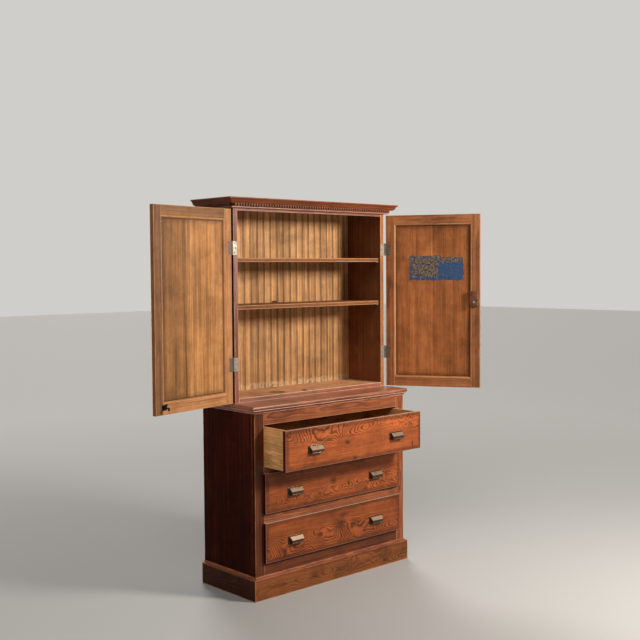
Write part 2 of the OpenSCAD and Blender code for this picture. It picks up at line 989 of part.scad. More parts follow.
// The chamfer along the outer arris of the frame, round the panel
module sight_chamfer() {
    c = door_chamfer;
    for (x = [sight_x0, sight_x1])
        translate([x, door_y0, sight_z0])
            linear_extrude(sight_z1 - sight_z0)
                rotate(45)
                    square(c * sqrt(2), center = true);
    for (z = [sight_z0, sight_z1])
        translate([sight_x0, door_y0, z])
            rotate([0, 90, 0])
                linear_extrude(sight_x1 - sight_x0)
                    rotate(45)
                        square(c * sqrt(2), center = true);
}

module door_frame_cuts() {
    panel_block(panel_play);
    sight_chamfer();
}

module door_stile(x0, x1) {
    difference() {
        block([x0, door_y0, door_z0], [x1, door_y1, door_z1]);
        door_frame_cuts();
        door_tenons(door_z0, sight_z0, joint_play);
        door_tenons(sight_z1, door_z1, joint_play);
    }
}

module door_hinge_stile(side) {
    color(STAINED)
        swung(side)
            difference() {
                door_stile(door_hinge_x, sight_x0);
                for (z = hinge_zs)
                    block(
                        [
                            door_hinge_x - over,
                            hinge_y - leaf_slit / 2 - leaf_t,
                            z - leaf_h / 2 - joint_play
                        ],
                        [
                            door_hinge_x + leaf_on_wood + joint_play,
                            door_y1 + over,
                            z + leaf_h / 2 + joint_play
                        ]
                    );
            }
}

module keyhole() {
    translate([lock_x, door_y0 - over, key_z])
        rotate([-90, 0, 0])
            cylinder(h = door_t + 2 * over, r = keyhole_r);
    block(
        [lock_x - keyhole_slot_w / 2, door_y0 - over, key_z - keyhole_slot_l],
        [lock_x + keyhole_slot_w / 2, door_y1 + over, key_z]
    );
}

module door_meeting_stile(side) {
    color(STAINED)
        swung(side)
            difference() {
                door_stile(sight_x1, door_free_x);
                if (side == RIGHT)
                    keyhole();
            }
}

module door_rail(side, z0, z1) {
    color(STAINED)
        swung(side) {
            difference() {
                block([sight_x0, door_y0, z0], [sight_x1, door_y1, z1]);
                door_frame_cuts();
            }
            difference() {
                door_tenons(z0, z1, 0);
                block(
                    [sight_x0 + over, panel_y0 - over, z0],
                    [sight_x1 - over, panel_y1 + over, z1]
                );
            }
        }
}

// The left panel is of three boards, the right one of two
module door_panel(side) {
    middle_x = (sight_x0 + sight_x1) / 2;
    left_joints = [door_hinge_x + left_joint_near, door_hinge_x + left_joint_far];
    color(BARE)
        swung(side)
            difference() {
                panel_block(0);
                for (x = side == LEFT ? left_joints : [middle_x], y = [panel_y0, panel_y1])
                    seam(x, y, door_z0, door_z1);
            }
}

// One quarter-round strip along X with mitred ends, its back on the panel
module bead_run(l) {
    intersection() {
        rotate([90, 0, 90])
            linear_extrude(l)
                intersection() {
                    square(door_bead_r);
                    circle(door_bead_r);
                }
        translate([0, door_bead_r, 0])
            rotate([90, 0, 0])
                linear_extrude(door_bead_r)
                    polygon([
                        [hairline, 0], [l - hairline, 0],
                        [l - hairline - door_bead_r, door_bead_r], [hairline + door_bead_r, door_bead_r]
                    ]);
    }
}

module door_panel_bead(side) {
    sight_w = sight_x1 - sight_x0;
    sight_h = sight_z1 - sight_z0;
    color(BARE)
        swung(side) {
            translate([sight_x0, panel_y1, sight_z0])
                bead_run(sight_w);
            translate([sight_x1, panel_y1, sight_z1])
                rotate([0, 180, 0])
                    bead_run(sight_w);
            translate([sight_x0, panel_y1, sight_z1])
                rotate([0, 90, 0])
                    bead_run(sight_h);
            translate([sight_x1, panel_y1, sight_z0])
                rotate([0, -90, 0])
                    bead_run(sight_h);
        }
}

// Elbow catch

// A plan section in Y and Z about the pivot, spread along X
module across_catch(w) {
    translate([catch_x, catch_y, catch_z])
        rotate([90, 0, 90])
            linear_extrude(w, center = true)
                children();
}

module catch_bracket() {
    ear_x = lever_w / 2 + catch_play;
    plate_z0 = catch_z - catch_plate_h / 2;
    color(IRON)
        swung(LEFT) {
            block(
                [catch_x - catch_plate_w / 2, door_y1, plate_z0],
                [catch_x + catch_plate_w / 2, door_y1 + catch_t, plate_z0 + catch_plate_h]
            );
            for (side = [LEFT, RIGHT])
                translate([side * (ear_x + catch_t / 2), 0, 0])
                    across_catch(catch_t) {
                        circle(lever_boss_r);
                        translate([-catch_pivot_out, -lever_boss_r])
                            square([catch_pivot_out, 2 * lever_boss_r]);
                    }
            across_catch(2 * (ear_x + catch_t))
                circle(catch_pin_r);
        }
}

module catch_lever() {
    color(IRON)
        swung(LEFT)
            across_catch(lever_w)
                difference() {
                    union() {
                        circle(lever_boss_r);
                        translate([0, -lever_t / 2])
                            square([lever_l, lever_t]);
                        translate([lever_l - lever_t, -hook_drop])
                            square([lever_t, hook_drop]);
                        rotate(-tail_lean)
                            translate([-lever_t / 2, 0])
                                square([lever_t, tail_l]);
                    }
                    circle(catch_pin_r + pin_play);
                }
}

module catch_strike() {
    lip_y1 = hook_y0 - hook_gap;
    color(IRON) {
        block(
            [catch_x - strike_w / 2, case_y0 + catch_t, case_floor],
            [catch_x + strike_w / 2, lip_y1, case_floor + catch_t]
        );
        block(
            [catch_x - strike_w / 2, lip_y1 - catch_t, case_floor],
            [catch_x + strike_w / 2, lip_y1, case_floor + strike_h]
        );
    }
}

// Lock

// The lock's face outline, drawn in by a margin
module lock_outline(margin) {
    square([lock_w - 2 * margin, lock_h - 2 * margin], center = true);
}

module lock_case() {
    color(RUSTED)
        swung(RIGHT) {
            difference() {
                translate([lock_x, door_y1, lock_z])
                    rotate([-90, 0, 0])
                        difference() {
                            linear_extrude(lock_t)
                                lock_outline(0);
                            lock_edge_chamfers();
                        }
                block(
                    [lock_edge_x - bolt_l - over, bolt_y0 - bolt_play, bolt_z - bolt_h / 2 - bolt_play],
                    [
                        lock_edge_x + over,
                        bolt_y0 + bolt_t + bolt_play,
                        bolt_z + bolt_h / 2 + bolt_play
                    ]
                );
            }
            translate([lock_x, door_y1 + lock_t - over, key_z])
                rotate([-90, 0, 0])
                    cylinder(h = boss_h + over, r = boss_r);
        }
}

// Cutters that chamfer the four edges of the lock's face
module lock_edge_chamfers() {
    for (x = [-lock_w / 2, lock_w / 2])
        translate([x, -lock_h / 2 - over, lock_t])
            rotate([-90, 0, 0])
                linear_extrude(lock_h + 2 * over)
                    rotate(45)
                        square(lock_chamfer * sqrt(2), center = true);
    for (y = [-lock_h / 2, lock_h / 2])
        translate([-lock_w / 2 - over, y, lock_t])
            rotate([0, 90, 0])
                linear_extrude(lock_w + 2 * over)
                    rotate(45)
                        square(lock_chamfer * sqrt(2), center = true);
}

module lock_bolt() {
    color(STEEL)
        swung(RIGHT)
            block(
                [lock_edge_x - bolt_l, bolt_y0, bolt_z - bolt_h / 2],
                [lock_edge_x, bolt_y0 + bolt_t, bolt_z + bolt_h / 2]
            );
}

// Drawers, counted from the top one down

module drawn(i) {
    translate([0, -drawer_open[i], 0])
        children();
}

module drawer_bottom_board(i, grow) {
    x = box_x - box_t + box_groove - joint_play + grow;
    z0 = opening_feet[i] + slide_gap + box_bottom_up;
    block(
        [-x, front_y1 - box_groove + joint_play - grow, z0],
        [x, box_y1 + grow, z0 + box_bottom_t]
    );
}

module drawer_front(i) {
    front_x = opening_x + front_lap;
    front_z0 = opening_feet[i] - front_drop;
    color(STAINED)
        drawn(i)
            difference() {
                block([-front_x, front_y0, front_z0], [front_x, front_y1, front_z0 + front_h]);
                drawer_bottom_board(i, joint_play);
            }
}

module drawer_box(i) {
    z0 = opening_feet[i] + slide_gap;
    back_z0 = z0 + box_bottom_up + box_bottom_t;
    color(BARE)
        drawn(i) {
            for (side = [LEFT, RIGHT])
                handed(side)
                    difference() {
                        block([-box_x, front_y1, z0], [-box_x + box_t, box_y1, z0 + box_h]);
                        drawer_bottom_board(i, joint_play);
                    }
            block(
                [-box_x + box_t + hairline, box_y1 - box_t, back_z0],
                [box_x - box_t - hairline, box_y1, z0 + box_h - box_back_drop]
            );
        }
}

module drawer_bottom(i) {
    color(BARE)
        drawn(i)
            drawer_bottom_board(i, 0);
}

// Hood section, reach against height above the foot of the hood
module hood_section(wall) {
    polygon([
        [wall, -over * sign(wall)],
        [hood_d - wall, -over * sign(wall)],
        [hood_d - wall, hood_front_h - wall / 2],
        [hood_top_d - wall / 2, hood_h - wall],
        [wall, hood_h - wall]
    ]);
}

// Flange outline, drawn in by a margin
module flange_outline(margin) {
    w = pull_w - 2 * margin;
    h = pull_h - 2 * margin;
    r = pull_corner - margin;
    square([w - 2 * r, h], center = true);
    square([w, h - 2 * r], center = true);
    for (x = [r - w / 2, w / 2 - r], y = [r - h / 2, h / 2 - r])
        translate([x, y])
            circle(r);
}

// The hood, or with a wall its hollow: the section run along X, its ends cut to the slant
module hood(wall) {
    back_x = hood_w / 2 - wall;
    front_x = back_x - hood_taper;
    intersection() {
        translate([-back_x, 0, -hood_h / 2])
            rotate([90, 0, 90])
                linear_extrude(2 * back_x)
                    mirror([1, 0])
                        hood_section(wall);
        translate([0, 0, -hood_h])
            linear_extrude(2 * hood_h)
                polygon([[-back_x, 0], [back_x, 0], [front_x, -hood_d], [-front_x, -hood_d]]);
    }
}

// The sunk face on the hood's upright front
module hood_panel() {
    x = hood_w / 2 - hood_taper - pull_border;
    foot = -hood_h / 2 + pull_border;
    head = -hood_h / 2 + hood_front_h - pull_border;
    block([-x, -hood_d - over, foot], [x, -hood_d + pull_sink, head]);
}

// A hooded pull, its flange's back at the origin and its hood towards -Y
module pull() {
    rotate([90, 0, 0]) {
        linear_extrude(pull_wall)
            flange_outline(0);
        linear_extrude(pull_wall + rim_h)
            difference() {
                flange_outline(0);
                flange_outline(rim_w);
            }
    }
    difference() {
        hood(0);
        hood(pull_wall);
        hood_panel();
    }
}

module drawer_pulls(i) {
    pull_z = opening_feet[i] - front_drop + front_h / 2 - pull_drop;
    color(BRONZE)
        drawn(i)
            for (side = [LEFT, RIGHT])
                translate([side * pull_spacing / 2, front_y0, pull_z])
                    pull();
}

plinth_boards();
chest_side(LEFT);  // chest_side_left
chest_side(RIGHT);  // chest_side_right
chest_back_boards();
chest_bottom();
base_bearer();
face_stile(LEFT);  // face_stile_left
face_stile(RIGHT);  // face_stile_right
face_rail(RAIL_TOP);  // face_rail_top
face_rails_between();
face_rail(RAIL_BOTTOM);  // face_rail_bottom
drawer_runners();
drawer_guides();
ledge_board();
waist_moulding();
case_side(LEFT);  // case_side_left
case_side(RIGHT);  // case_side_right
case_bottom();
case_top();
case_back_boards();
frieze_rail();
dentil_course();
crown_moulding();
shelf(upper_peg_z);  // shelf_upper
shelf(lower_peg_z);  // shelf_lower
shelf_pegs();
hinge_case_leaves();
hinge_pins();
catch_strike();
door_hinge_stile(LEFT);  // door_left_hinge_stile
door_meeting_stile(LEFT);  // door_left_meeting_stile
door_rail(LEFT, sight_z1, door_z1);  // door_left_top_rail
door_rail(LEFT, door_z0, sight_z0);  // door_left_bottom_rail
door_panel(LEFT);  // door_left_panel
door_panel_bead(LEFT);  // door_left_panel_bead
door_hinge_leaves(LEFT);  // door_left_hinge_leaves
catch_bracket();
catch_lever();
door_hinge_stile(RIGHT);  // door_right_hinge_stile
door_meeting_stile(RIGHT);  // door_right_meeting_stile
door_rail(RIGHT, sight_z1, door_z1);  // door_right_top_rail
door_rail(RIGHT, door_z0, sight_z0);  // door_right_bottom_rail
door_panel(RIGHT);  // door_right_panel
door_panel_bead(RIGHT);  // door_right_panel_bead
door_hinge_leaves(RIGHT);  // door_right_hinge_leaves
lock_case();
lock_bolt();
drawer_front(0);  // drawer_top_front
drawer_box(0);  // drawer_top_box
drawer_bottom(0);  // drawer_top_bottom
drawer_pulls(0);  // drawer_top_pulls
drawer_front(1);  // drawer_middle_front
drawer_box(1);  // drawer_middle_box
drawer_bottom(1);  // drawer_middle_bottom
drawer_pulls(1);  // drawer_middle_pulls
drawer_front(2);  // drawer_bottom_front
drawer_box(2);  // drawer_bottom_box
drawer_bottom(2);  // drawer_bottom_bottom
drawer_pulls(2);  // drawer_bottom_pulls
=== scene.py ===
import json
import math
import random

import bpy
import numpy as np
from mathutils import Matrix, Vector, noise


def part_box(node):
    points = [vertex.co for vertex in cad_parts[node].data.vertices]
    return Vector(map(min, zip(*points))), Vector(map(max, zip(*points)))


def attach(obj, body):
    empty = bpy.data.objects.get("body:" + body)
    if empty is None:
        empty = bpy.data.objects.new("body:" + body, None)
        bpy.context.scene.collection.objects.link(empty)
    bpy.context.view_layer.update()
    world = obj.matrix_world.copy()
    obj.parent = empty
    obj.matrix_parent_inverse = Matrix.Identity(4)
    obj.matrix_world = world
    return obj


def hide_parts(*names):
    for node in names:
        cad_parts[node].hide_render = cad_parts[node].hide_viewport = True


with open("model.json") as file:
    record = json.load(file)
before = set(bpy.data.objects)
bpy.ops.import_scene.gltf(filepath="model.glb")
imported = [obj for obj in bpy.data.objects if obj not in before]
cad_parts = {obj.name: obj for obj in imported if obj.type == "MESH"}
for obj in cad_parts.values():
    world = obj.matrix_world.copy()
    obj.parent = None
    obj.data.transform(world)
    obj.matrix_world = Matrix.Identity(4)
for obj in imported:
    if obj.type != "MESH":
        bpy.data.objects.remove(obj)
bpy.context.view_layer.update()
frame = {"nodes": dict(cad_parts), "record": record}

# The store cabinet, dressed. Every CAD node is copied, its arrises are eased and its finish is
# laid on, and then screws, a pasted paper and a dark block of painted shade in the notch of the
# back boards are added. Lengths are in metres where a comment says nothing else.

MM = 0.001
NODES = frame["nodes"]
BODY_OF = {
    node: body
    for body, members in frame["record"]["behaviour"]["bodies"].items()
    for node in members
}
ROWS = ("top", "middle", "bottom")
# The axis of each door's hinges in plan, and the turn about +Z from closed to where it stands
HINGE = {"left": Vector((-0.5435, -0.0565, 0)), "right": Vector((0.5435, -0.0565, 0))}
TURN = {"left": math.radians(-168.2), "right": math.radians(120.4)}
# Edges that turn by more than this are arrises
ARRIS_ANGLE = math.radians(40)


# Working with objects


def only(piece):
    """Makes a piece the one selected and active object."""
    bpy.ops.object.select_all(action="DESELECT")
    piece.select_set(True)
    bpy.context.view_layer.objects.active = piece


def new_object(name, data):
    """A new object in the scene."""
    made = bpy.data.objects.new(name, data)
    bpy.context.scene.collection.objects.link(made)
    return made


def read(items, name, kind=np.int32, width=1):
    """One property of each item of a mesh, as an array."""
    values = np.zeros(len(items) * width, kind)
    items.foreach_get(name, values)
    return values


def edit(piece):
    """Opens a piece in edit mode with nothing selected."""
    only(piece)
    bpy.ops.object.mode_set(mode="EDIT")
    bpy.ops.mesh.select_all(action="DESELECT")


def leave():
    """Goes back to object mode."""
    bpy.ops.object.mode_set(mode="OBJECT")


def modify(piece, kind, **settings):
    """Adds a modifier and applies it."""
    modifier = piece.modifiers.new(kind.title(), kind)
    for name, value in settings.items():
        setattr(modifier, name, value)
    only(piece)
    bpy.ops.object.modifier_apply(modifier=modifier.name)


def bevel(piece, width, **settings):
    """Rounds the arrises of a piece."""
    sharp = {"limit_method": "ANGLE", "angle_limit": ARRIS_ANGLE}
    modify(piece, "BEVEL", width=width, segments=2, **sharp, **settings)


def settle(piece):
    """Puts a piece's place into its mesh, so that its object sits unturned at the origin."""
    only(piece)
    bpy.ops.object.transform_apply(location=True, rotation=True, scale=True)


def smooth(piece, degrees):
    only(piece)
    bpy.ops.object.shade_smooth_by_angle(angle=math.radians(degrees))


def turn_of(node):
    """The turn of the door that a node belongs to, or none."""
    if node.startswith(("door_left", "catch_bracket", "catch_lever")):
        return TURN["left"]
    if node.startswith(("door_right", "lock_")):
        return TURN["right"]
    return 0.0


def swung(side):
    """From a door's closed place to the place where it stands open."""
    pivot = Matrix.Translation(HINGE[side])
    return pivot @ Matrix.Rotation(TURN[side], 4, "Z") @ pivot.inverted()


# Shader nodes


def srgb(red, green, blue):
    """A colour as read on a screen, as the linear colour that a socket takes."""
    out = []
    for value in (red, green, blue):
        v = value / 255
        out.append(v / 12.92 if v <= 0.04045 else ((v + 0.055) / 1.055) ** 2.4)
    return (*out, 1.0)


class Nodes:
    """A node tree with short calls for the nodes that the finishes use."""

    def __init__(self, tree):
        self.tree = tree

    def add(self, kind, **settings):
        node = self.tree.nodes.new(kind)
        for name, value in settings.items():
            setattr(node, name, value)
        return node

    def put(self, socket, value):
        """Links an output to a socket, or sets a plain value on it."""
        if isinstance(value, bpy.types.NodeSocket):
            self.tree.links.new(value, socket)
        else:
            socket.default_value = value

    def feed(self, node, *first, **named):
        """Puts values on a node's first sockets, and on others by name, with _ for a space.
        Gives the node's outputs."""
        for socket, value in zip(node.inputs, first):
            self.put(socket, value)
        for name, value in named.items():
            self.put(node.inputs[name.replace("_", " ")], value)
        return node.outputs

    def math(self, operation, a, b=0.0, c=0.5, clamp=False):
        node = self.add("ShaderNodeMath", operation=operation, use_clamp=clamp)
        return self.feed(node, a, b, c)[0]

    def times(self, a, b, clamp=False):
        return self.math("MULTIPLY", a, b, clamp=clamp)

    def plus(self, a, b, clamp=False):
        return self.math("ADD", a, b, clamp=clamp)

    def minus(self, a, b, clamp=False):
        return self.math("SUBTRACT", a, b, clamp=clamp)

    def vector(self, operation, a, b=(0, 0, 0)):
        node = self.add("ShaderNodeVectorMath", operation=operation)
        return self.feed(node, a, b)["Value" if operation == "LENGTH" else "Vector"]

    def split(self, vector):
        return self.feed(self.add("ShaderNodeSeparateXYZ"), vector)

    def join(self, x, y, z):
        return self.feed(self.add("ShaderNodeCombineXYZ"), x, y, z)[0]

    def noise(self, vector, scale=1.0, detail=2.0, roughness=0.5, distortion=0.0):
        node = self.add("ShaderNodeTexNoise")
        self.feed(node, Vector=vector, Scale=scale, Detail=detail)
        return self.feed(node, Roughness=roughness, Distortion=distortion)

    def band(self, value, low, high, to_low=0.0, to_high=1.0, soft=True):
        """A value between two levels, spread over a new range and held at its ends."""
        way = "SMOOTHSTEP" if soft else "LINEAR"
        node = self.add("ShaderNodeMapRange", interpolation_type=way, clamp=True)
        return self.feed(node, value, low, high, to_low, to_high)[0]

    def ramp(self, value, stops):
        """A value turned to grey by (place, level) stops."""
        node = self.add("ShaderNodeValToRGB")
        points = node.color_ramp.elements
        while len(points) < len(stops):
            points.new(0.5)
        for point, (place, level) in zip(points, stops):
            point.position = place
            point.color = (level, level, level, 1)
        return self.feed(node, value)[0]

    def mix(self, share, a, b, blend="MIX"):
        node = self.add("ShaderNodeMix", data_type="RGBA", blend_type=blend)
        self.put(node.inputs[0], share)
        self.put(node.inputs[6], a)
        self.put(node.inputs[7], b)
        return node.outputs[2]

    def shaded(self, colour, level, tint=(1, 1, 1)):
        """A colour times a level, which may lean to a tint."""
        by = [level if share == 1 else self.times(level, share) for share in tint]
        return self.mix(1.0, colour, self.join(*by), "MULTIPLY")

    def attribute(self, name):
        return self.add("ShaderNodeAttribute", attribute_name=name).outputs

    def group(self, tree, **inputs):
        return self.feed(self.add("ShaderNodeGroup", node_tree=tree), **inputs)

    def bump(self, height, strength, distance):
        node = self.add("ShaderNodeBump")
        return self.feed(node, Strength=strength, Distance=distance, Height=height)[0]


def new_group(name, vectors, numbers, results):
    """A shader node group with named sockets, as (tree, nodes, its inputs, its output node)."""
    tree = bpy.data.node_groups.new(name, "ShaderNodeTree")
    for labels, way, kind in (
        (vectors, "INPUT", "NodeSocketVector"),
        (numbers, "INPUT", "NodeSocketFloat"),
        (results, "OUTPUT", "NodeSocketFloat"),
    ):
        for label in labels:
            tree.interface.new_socket(label, in_out=way, socket_type=kind)
    n = Nodes(tree)
    return tree, n, n.add("NodeGroupInput").outputs, n.add("NodeGroupOutput")


def make_figure_group():
    """Growth rings cut by a board, its fibre, slow streaks, flecks and knots.
    Board runs along, across and through the board, in metres from the heart of the log."""
    tree, n, given, out = new_group(
        "Board figure",
        ["Board"],
        ["Ring", "Pace", "Wander", "Curl", "Knots"],
        ["Rings", "Fibre", "Streak", "Fleck", "Knot"],
    )
    board = given["Board"]
    x, y, z = n.split(board)

    def stretched(along, across):
        return n.vector("MULTIPLY", board, (along, across, across))

    paced = n.times(x, given["Pace"])
    drift = n.join(paced, n.times(y, 4.5), n.times(z, 4.5))
    slow = n.split(n.noise(drift, detail=2.0)["Color"])
    quick = n.split(n.noise(n.vector("MULTIPLY", drift, (8.0, 3.0, 3.0)), detail=2.0)["Color"])
    restless = n.noise(n.vector("MULTIPLY", drift, (0.6, 1.0, 1.0)), detail=1.0)[0]
    wild = n.band(restless, 0.4, 0.62, 0.45, 1.3)
    # Knots sit in stretched cells, most of them empty
    cells = n.feed(
        n.add("ShaderNodeTexVoronoi", voronoi_dimensions="2D"),
        Vector=n.vector("MULTIPLY", board, (1.7, 5.5, 0)),
        Scale=1.0,
        Randomness=1.0,
    )
    lot = n.split(cells["Color"])[0]
    there = n.math("LESS_THAN", lot, given["Knots"])
    near = cells["Distance"]
    pull = n.times(n.band(near, 0.0, 0.34, 1.0, 0.0), there)

    def bent(value, sweep, ripple):
        sweep = n.times(n.minus(sweep, 0.5), given["Wander"])
        ripple = n.times(n.minus(ripple, 0.5), n.times(given["Curl"], wild))
        return n.plus(value, n.plus(sweep, ripple))

    across = bent(y, slow[0], quick[0])
    through = bent(z, slow[1], quick[1])
    radius = n.vector("LENGTH", n.join(0.0, across, through))
    radius = n.plus(radius, n.times(pull, 0.045))
    # Years of growth by the way from the heart, some thick and some thin
    seasons = n.add("ShaderNodeTexNoise", noise_dimensions="1D")
    seasons = n.feed(seasons, W=n.times(radius, 34.0), Scale=1.0, Detail=2.0)[0]
    years = n.math("DIVIDE", radius, given["Ring"])
    years = n.plus(years, n.times(seasons, 1.8))
    season = n.math("FRACT", years)
    late = n.ramp(season, [(0, 0.0), (0.4, 0.08), (0.68, 0.7), (0.86, 1), (1, 0)])
    fade = n.band(n.noise(stretched(2.6, 12.0), detail=3.0)[0], 0.32, 0.58, 0.45, 1.0)
    # Fine marks along the board
    fibre = n.noise(stretched(7.0, 460.0), detail=3.0, roughness=0.6)[0]
    broad = n.noise(stretched(0.8, 42.0), detail=4.0, roughness=0.6)[0]
    close = n.noise(stretched(2.4, 150.0), detail=3.0, roughness=0.6)[0]
    streak = n.plus(n.times(broad, 0.55), n.times(close, 0.45))
    fleck = n.noise(stretched(12.0, 190.0), detail=2.0)[0]
    core = n.band(near, 0.02, 0.1, 1.0, 0.0)
    n.feed(
        out,
        Rings=n.times(late, fade),
        Fibre=n.band(fibre, 0.28, 0.72),
        Streak=n.band(streak, 0.36, 0.64),
        Fleck=n.band(fleck, 0.64, 0.72),
        Knot=n.times(core, there),
    )
    return tree


def make_arris_group():
    """Wear along the edges of a board: Place is from its middle, Half its half sizes."""
    tree, n, given, out = new_group(
        "Arris wear", ["Place", "Half", "Where"], ["Reach", "Amount"], ["Wear", "Near"]
    )
    gap = n.vector("SUBTRACT", given["Half"], n.vector("ABSOLUTE", given["Place"]))
    a, b, c = n.split(gap)
    low = n.math("MINIMUM", a, b)
    high = n.math("MAXIMUM", a, b)
    second = n.math("MAXIMUM", low, n.math("MINIMUM", high, c))
    near = n.band(second, 0.0, given["Reach"], 1.0, 0.0, soft=False)
    broad = n.noise(given["Where"], scale=16.0, detail=4.0, roughness=0.65)[0]
    fine = n.noise(given["Where"], scale=150.0, detail=3.0, roughness=0.6)[0]
    chance = n.plus(n.times(broad, 1.1), n.times(fine, 0.7))
    chance = n.plus(n.minus(chance, 1.25), given["Amount"])
    worn = n.plus(n.times(near, 0.9), chance)
    wear = n.times(n.band(worn, 0.45, 0.9), n.math("POWER", near, 0.4))
    n.feed(out, Wear=wear, Near=near)
    return tree


def make_marks_group():
    """Grime in patches, scuffs and small dents from handling."""
    tree, n, given, out = new_group(
        "Handling marks", ["Where"], ["Amount"], ["Grime", "Scuff", "Dent", "Cloud"]
    )
    where = given["Where"]
    patch = n.noise(where, scale=4.2, detail=6.0, roughness=0.62, distortion=0.4)[0]
    scuff = n.noise(where, scale=55.0, detail=5.0, roughness=0.7, distortion=1.2)[0]
    pits = n.feed(n.add("ShaderNodeTexVoronoi"), Vector=where, Scale=26.0)
    lot = n.split(pits["Color"])[0]
    pit = n.band(pits["Distance"], 0.03, 0.11, 1.0, 0.0)
    cloud = n.noise(where, scale=11.0, detail=6.0, roughness=0.72)[0]
    n.feed(
        out,
        Grime=n.times(n.band(patch, 0.47, 0.72), given["Amount"]),
        Scuff=n.times(n.band(scuff, 0.63, 0.7), given["Amount"]),
        Dent=n.times(pit, n.math("GREATER_THAN", lot, 0.8)),
        Cloud=n.band(cloud, 0.3, 0.7),
    )
    return tree


FIGURE = make_figure_group()
ARRIS = make_arris_group()
MARKS = make_marks_group()


def start_material(name):
    """A new material as (material, nodes, shader, place in object coordinates)."""
    material = bpy.data.materials.new(name)
    material.use_nodes = True
    n = Nodes(material.node_tree)
    shader = material.node_tree.nodes["Principled BSDF"]
    where = n.add("ShaderNodeTexCoord").outputs["Object"]
    return material, n, shader, where


def wood(
    name, early, late, bare, grime=(38, 20, 12), ring=5, pace=1.4, wander=16, curl=4,
    knots=0.05, contrast=0.6, wear=0.5, reach=5, marks=0.6, mottle=0.24, streaky=0.34,
    varied=0.16, rough=0.44, shine=0.16, coat=0.0, rim=None, bead_shadow=None, deep=None, extra=None,
):
    """A wood finish: the figure of the board in two colours, worn along its edges to a third.
    ring, wander, curl, reach, rim, bead_shadow and deep are in millimetres. rim is dirt and painted
    shade gathered along the edges, bead_shadow is a painted shadow line this far in from them where
    a bead or rail shades a panel, deep is dirt and painted shade in grooves, and extra adds what
    one place alone has."""
    material, n, shader, where = start_material(name)
    place = n.attribute("place")["Vector"]
    half = n.attribute("half")["Vector"]
    tone = n.attribute("tone")["Fac"]
    rings, fibre, streak, fleck, knot = n.group(
        FIGURE,
        Board=n.attribute("board")["Vector"],
        Ring=ring * MM,
        Pace=pace,
        Wander=wander * MM,
        Curl=curl * MM,
        Knots=knots,
    )
    edges = {"Place": place, "Half": half, "Where": where}
    worn = n.group(ARRIS, **edges, Reach=reach * MM, Amount=wear)["Wear"]
    darkening, scuff, dent, cloud = n.group(MARKS, Where=where, Amount=marks)
    dark = srgb(*(0.55 * c for c in late))
    colour = n.mix(n.times(rings, contrast), srgb(*early), srgb(*late))
    # Light and dark along the fibre, in streaks, in clouds and from board to board
    level = n.band(fibre, 0.0, 1.0, 0.84, 1.12, soft=False)
    for value, low, high in (
        (streak, 1 + streaky * 0.4, 1 - streaky * 0.6),
        (cloud, 1 + mottle / 2, 1 - mottle / 2),
        (n.math("MULTIPLY_ADD", tone, 0.5, 0.5), 1 - varied, 1 + varied),
    ):
        level = n.times(level, n.band(value, 0.0, 1.0, low, high, soft=False))
    colour = n.shaded(colour, level)
    # Marks as a mask, the most that it covers and its colour
    shares = [(fleck, 0.35, dark), (knot, 0.85, dark)]
    shares += [(darkening, 0.75, srgb(*grime)), (dent, 0.5, srgb(*grime))]
    shares += [(scuff, 0.45, srgb(*bare)), (worn, 0.8, srgb(*bare))]
    # Dirt and painted shade gathered along the edges, as on panels sunk in their frames
    if rim:
        soil_and_shade_at_edges = n.group(ARRIS, **edges, Reach=rim * MM, Amount=0.8)["Wear"]
        shares.append((soil_and_shade_at_edges, 0.6, srgb(*grime)))
    # Painted shadow: a dark line a little in from the edges, where a bead or rail casts its shadow
    # on a panel
    if bead_shadow:
        beside = n.group(ARRIS, **edges, Reach=1.6 * bead_shadow * MM, Amount=0.0)["Near"]
        shares.append((n.band(beside, 0.1, 0.34), 0.75, srgb(*(0.5 * c for c in grime))))
    # Dirt and painted shade down in the grooves of beaded boards
    if deep:
        depth = n.minus(n.split(half)[2], n.math("ABSOLUTE", n.split(place)[2]))
        shares.append((n.band(depth, 0.4 * deep * MM, deep * MM), 0.95, srgb(*grime)))
    for mask, most, other in shares:
        colour = n.mix(n.times(mask, most), colour, other)
    if extra:
        colour = extra(n, colour, where)
    gloss = n.band(fibre, 0.0, 1.0, rough - 0.06, rough + 0.08, soft=False)
    gloss = n.plus(gloss, n.times(worn, 0.14))
    gloss = n.plus(gloss, n.times(darkening, 0.1), clamp=True)
    height = n.plus(n.times(rings, 0.5), n.times(fibre, 0.5))
    height = n.minus(height, n.times(dent, 1.6))
    height = n.minus(height, n.times(worn, 0.6))
    n.feed(shader, Base_Color=colour, Roughness=gloss, Normal=n.bump(height, 0.35, 0.4 * MM))
    n.feed(shader, Specular_IOR_Level=shine, Coat_Weight=coat, Coat_Roughness=0.28)
    return material


def metal(name, body, bright, dark, rough=0.42, metallic=1.0, wear=0.4, patchy=0.5):
    """A worn metal finish: its body colour, rubbed bright on the arrises, dark in patches."""
    material, n, shader, where = start_material(name)
    arris = n.attribute("arris")["Fac"]
    close = n.vector("MULTIPLY", where, (6, 6, 6))
    darkening, scuff, dent, cloud = n.group(MARKS, Where=close, Amount=1.0)
    rubbed = n.times(arris, n.band(cloud, 0.0, 1.0, 1.0, 0.4))
    rubbed = n.plus(rubbed, n.times(scuff, 0.4))
    rubbed = n.times(rubbed, wear, clamp=True)
    colour = n.mix(n.times(cloud, patchy), srgb(*body), srgb(*dark))
    colour = n.mix(n.times(darkening, patchy), colour, srgb(*dark))
    colour = n.mix(rubbed, colour, srgb(*bright))
    gloss = n.band(cloud, 0.0, 1.0, rough - 0.08, rough + 0.12)
    gloss = n.minus(gloss, n.times(rubbed, 0.12), clamp=True)
    height = n.minus(cloud, n.times(dent, 0.4))
    n.feed(shader, Base_Color=colour, Roughness=gloss, Normal=n.bump(height, 0.2, 0.2 * MM))
    n.feed(shader, Metallic=metallic)
    return material


# Finishes

